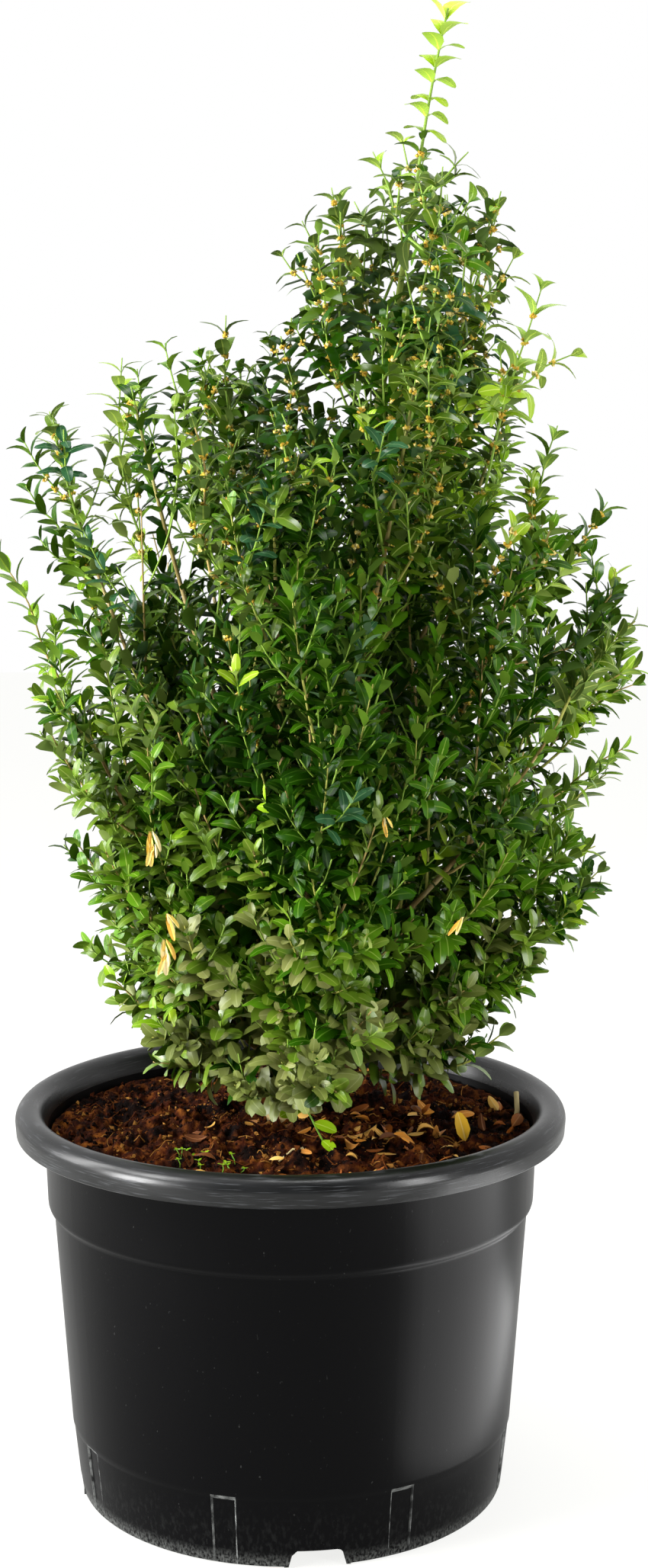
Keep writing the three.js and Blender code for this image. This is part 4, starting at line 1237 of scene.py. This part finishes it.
def makeCrumbs():
    looks = newLooks(("crumb_dark", "#120602", 0.95, 0.1), ("crumb_red", "#3c1806", 0.95, 0.1),
                     ("crumb_brown", "#603210", 0.92, 0.1), ("crumb_tan", "#9c6c30", 0.9, 0.1))
    heap = Heap()
    for i in range(crumbs["count"]):
        addCrumb(heap, i)
    for i in range(fibres["count"]):
        addFibre(heap, i)
    heap.piece("peat_crumbs", looks, "soil", False)


fallen = {"count": 130, "reach": 0.186, "turn": (-190, 20), "handful": 5, "handfulPlace": (0.070, -0.062),
          "handfulSpread": (0.026, 0.020), "turnedOver": 0.4, "lengths": (0.009, 0.020), "width": (0.3, 0.5)}
curl = {"arch": (0.0, 0.22), "droop": (-0.3, 0.4), "fold": (-1.0, 1.0)}
standing = {"place": (0.140, -0.058), "way": (-0.25, -0.3, 1), "over": (0.2, -1, 0.1), "length": 0.026}


def makeFallen():
    leaves = Leaves()
    for i in range(fallen["count"]):
        x, y = spot(fallen["reach"] * math.sqrt(chance(i, 31)), mix(*fallen["turn"], chance(i, 32) ** 0.55))
        if i % fallen["handful"] == 0:  # some lie together in front of the stem
            x, y = (middle + spread * around(i, salt) for middle, spread, salt in
                    zip(fallen["handfulPlace"], fallen["handfulSpread"], (31, 32)))
        way = Vector((*spot(1, math.degrees(9 * chance(i, 33))), 0.35 * around(i, 34))).normalized()
        over = (up + Vector((around(i, 35), around(i, 36), 0)) * 0.6).normalized()
        if chance(i, 37) < fallen["turnedOver"]:
            over = -over
        leaves.add(onPeat(x, y, 0.003), way, over, between(fallen["lengths"], i, 39), dealt("litter", i, 38),
                   between(curl["arch"], i, 42), between(curl["droop"], i, 40), between(curl["fold"], i, 41),
                   "finest", between(fallen["width"], i, 43))
    root, way = onPeat(*standing["place"], 0.004), Vector(standing["way"]).normalized()
    yellow = paintNumbers["yellow"][0]
    leaves.add(root, way, Vector(standing["over"]), standing["length"], yellow, 0.05, 0.1, 0.3)
    leaves.piece("fallen_leaves")


seedlings = {"groups": [(-0.078, -0.108, 8), (-0.041, -0.129, 5)],  # x, y and how many stand there
             "spread": (0.011, 0.008), "heights": (0.003, 0.008), "radii": [0.0004, 0.0004, 0.0003],
             "leaf": (0.003, 0.005), "width": 0.6}
sprout = {"stem": ((0.004, -0.052, 0.348), (0.012, -0.068, 0.334), (0.019, -0.076, 0.322),
                   (0.026, -0.080, 0.309)),
          "radius": 0.0008, "turns": (200, 10, 300), "leaf": 0.022, "width": 0.56}
stub = {"foot": (0.186, 0.010), "rise": 0.030, "radius": 0.0021}
paleTwig = {"from": (-0.008, -0.100), "to": (0.014, -0.097), "radius": 0.0009}


def makeSeedlings():
    looks = newLooks(("seedling_green", "#7db52a", 0.5), ("stub_pale", "#b9a878", 0.8, 0.3))
    heap, leaves = Heap(), Leaves()
    green, lime = paintNumbers["fresh"], paintNumbers["lime"][1]
    wide, deep = seedlings["spread"]
    for i, (x, y, count) in enumerate(seedlings["groups"]):
        for k in range(count):
            foot = onPeat(x + wide * around(i, k + 1), y + deep * around(i, k + 11))
            rise = between(seedlings["heights"], i, k + 41)
            tip = foot + Vector((0.003 * around(i, k + 21), 0.003 * around(i, k + 31), rise))
            heap.tube([foot, (foot + tip) / 2 + Vector((0.0008, 0, 0)), tip], seedlings["radii"], 4, 0)
            for side in range(3):
                way = Vector((*spot(1, math.degrees(2.1 * side + k)), 0.35)).normalized()
                length, shade = between(seedlings["leaf"], k, side), green[(i + k) % 3]
                leaves.add(tip, way, up, length, shade, 0.05, 0.1, 0.1, "inner", seedlings["width"])
    stem = [Vector(p) for p in sprout["stem"]]
    line = throughPoints(stem, 5)
    heap.tube(line, [sprout["radius"]] * len(line), 5, 0)
    for k, turn in enumerate(sprout["turns"]):
        x, y = spot(1, turn)
        way, length = Vector((x, 0.4 * y - 0.3, -0.25)).normalized(), sprout["leaf"] * (1 - 0.12 * k)
        leaves.add(stem[k + 1], way, Vector((0.1, -0.7, 0.8)), length, lime, 0.03, 0.12, 0.2, "finest",
                   sprout["width"])
    foot, top = onPeat(*stub["foot"], -0.004), up * stub["rise"]
    heap.tube([foot, foot + top * 0.5 + Vector((0.001, 0, 0)), foot + top], [stub["radius"]] * 3, 8, 1)
    line = []
    for k in range(7):
        x, y = (mix(start, end, k / 6) for start, end in zip(paleTwig["from"], paleTwig["to"]))
        line.append(onPeat(x, y, 0.002) + Vector((0, 0.002 * math.sin(k), 0)))
    heap.tube(line, [paleTwig["radius"]] * 7, 6, 1)
    heap.piece("seedling_stems", looks, "soil")
    leaves.piece("seedling_leaves", "fresh_foliage")


makeBed()
makeCrumbs()
makeFallen()
makeSeedlings()
print("soil made")


# stage, light and camera

studio = {"floor": "#f4f4f2", "floorBase": "#7c7c7a", "floorGlow": 0.92, "floorThrow": 0.5, "floorSize": 12,
          "air": "#ffffff", "behind": -0.75, "before": 0.2, "dim": 0.08, "bright": 0.85,
          "lens": 52.5, "sensor": 36, "pitch": 7.6}
# name, place, aim, width, height, power, turn about the upright
lamps = [
    ("key_left", (-2.1, -1.0, 2.4), (0, 0, 0.7), 0.7, 1.0, 50, 0),
    ("side_right", (1.79, -1.45, 0.9), (0.05, 0, 0.5), 0.5, 1.6, 33, 0),
    ("side_left", (-2.2, 0.1, 1.3), (0, 0, 0.6), 0.6, 1.6, 40, 0),
    ("top", (0.2, 0.0, 3.0), (0.05, 0, 0.6), 1.0, 1.0, 36, 0),
    ("fill_left", (-2.0, -1.1, 0.6), (0, 0, 0.5), 0.7, 1.0, 72, 0),
    ("low_right", (0.74, -0.18, 0.01), (0.74, -0.18, 1), 1.0, 0.54, 6.2, -25),
]


def seenOn(look):  # 1 where the air or floor is looked at, and 0 for the light that it throws
    return node(look, "LightPath", {})["Is Camera Ray"]


def makeAir():  # white all round to look at, but the light comes from the sides, the top and behind
    world = bpy.data.worlds.new("air")
    world.use_nodes = True
    depth = node(world, "SeparateXYZ", {"Vector": node(world, "TexCoord", {})["Generated"]})["Y"]
    span = {"From Min": studio["behind"], "From Max": studio["before"], "To Min": studio["dim"],
            "To Max": studio["bright"]}
    light = node(world, "MapRange", {"Value": depth, **span}, interpolation_type="SMOOTHSTEP")
    strength = mathOn(world, "MAXIMUM", light["Result"], seenOn(world))
    feed(world, world.node_tree.nodes["Background"], {"Color": linear(studio["air"]), "Strength": strength})
    return world


def floorLook():  # a white floor to look at, which throws up less light than it shows
    look = newLook("pale_floor", studio["floorBase"], 0.9, 0.1)
    glow = spreadOn(look, seenOn(look), studio["floorThrow"], studio["floorGlow"])
    coat(look, {"Emission Color": linear(studio["floor"]), "Emission Strength": glow})
    return look


def makeStudio():
    scene = bpy.context.scene
    bpy.ops.mesh.primitive_plane_add(size=studio["floorSize"], location=(0, 2, -0.0005))
    floor = bpy.context.object
    floor.name = "floor"
    floor.data.materials.append(floorLook())
    scene.world = makeAir()
    for name, place, aim, width, height, power, turn in lamps:
        lamp = bpy.data.lights.new(name, "AREA")
        lamp.shape = "RECTANGLE"
        lamp.size, lamp.size_y, lamp.energy = width, height, power
        thing = newThing(name, lamp)
        thing.location = place
        thing.visible_camera = False
        aimed = (Vector(aim) - Vector(place)).to_track_quat("-Z", "Y")
        thing.rotation_euler = (Quaternion(up, math.radians(turn)) @ aimed).to_euler()
    lens = bpy.data.cameras.new("camera")
    lens.lens, lens.sensor_width, lens.sensor_fit = studio["lens"], studio["sensor"], "AUTO"
    camera = newThing("camera", lens)
    camera.location = eye
    camera.rotation_euler = (math.radians(90 - studio["pitch"]), 0, 0)
    scene.camera = camera
    scene.view_settings.view_transform = "Standard"
    print("studio made")


makeStudio()
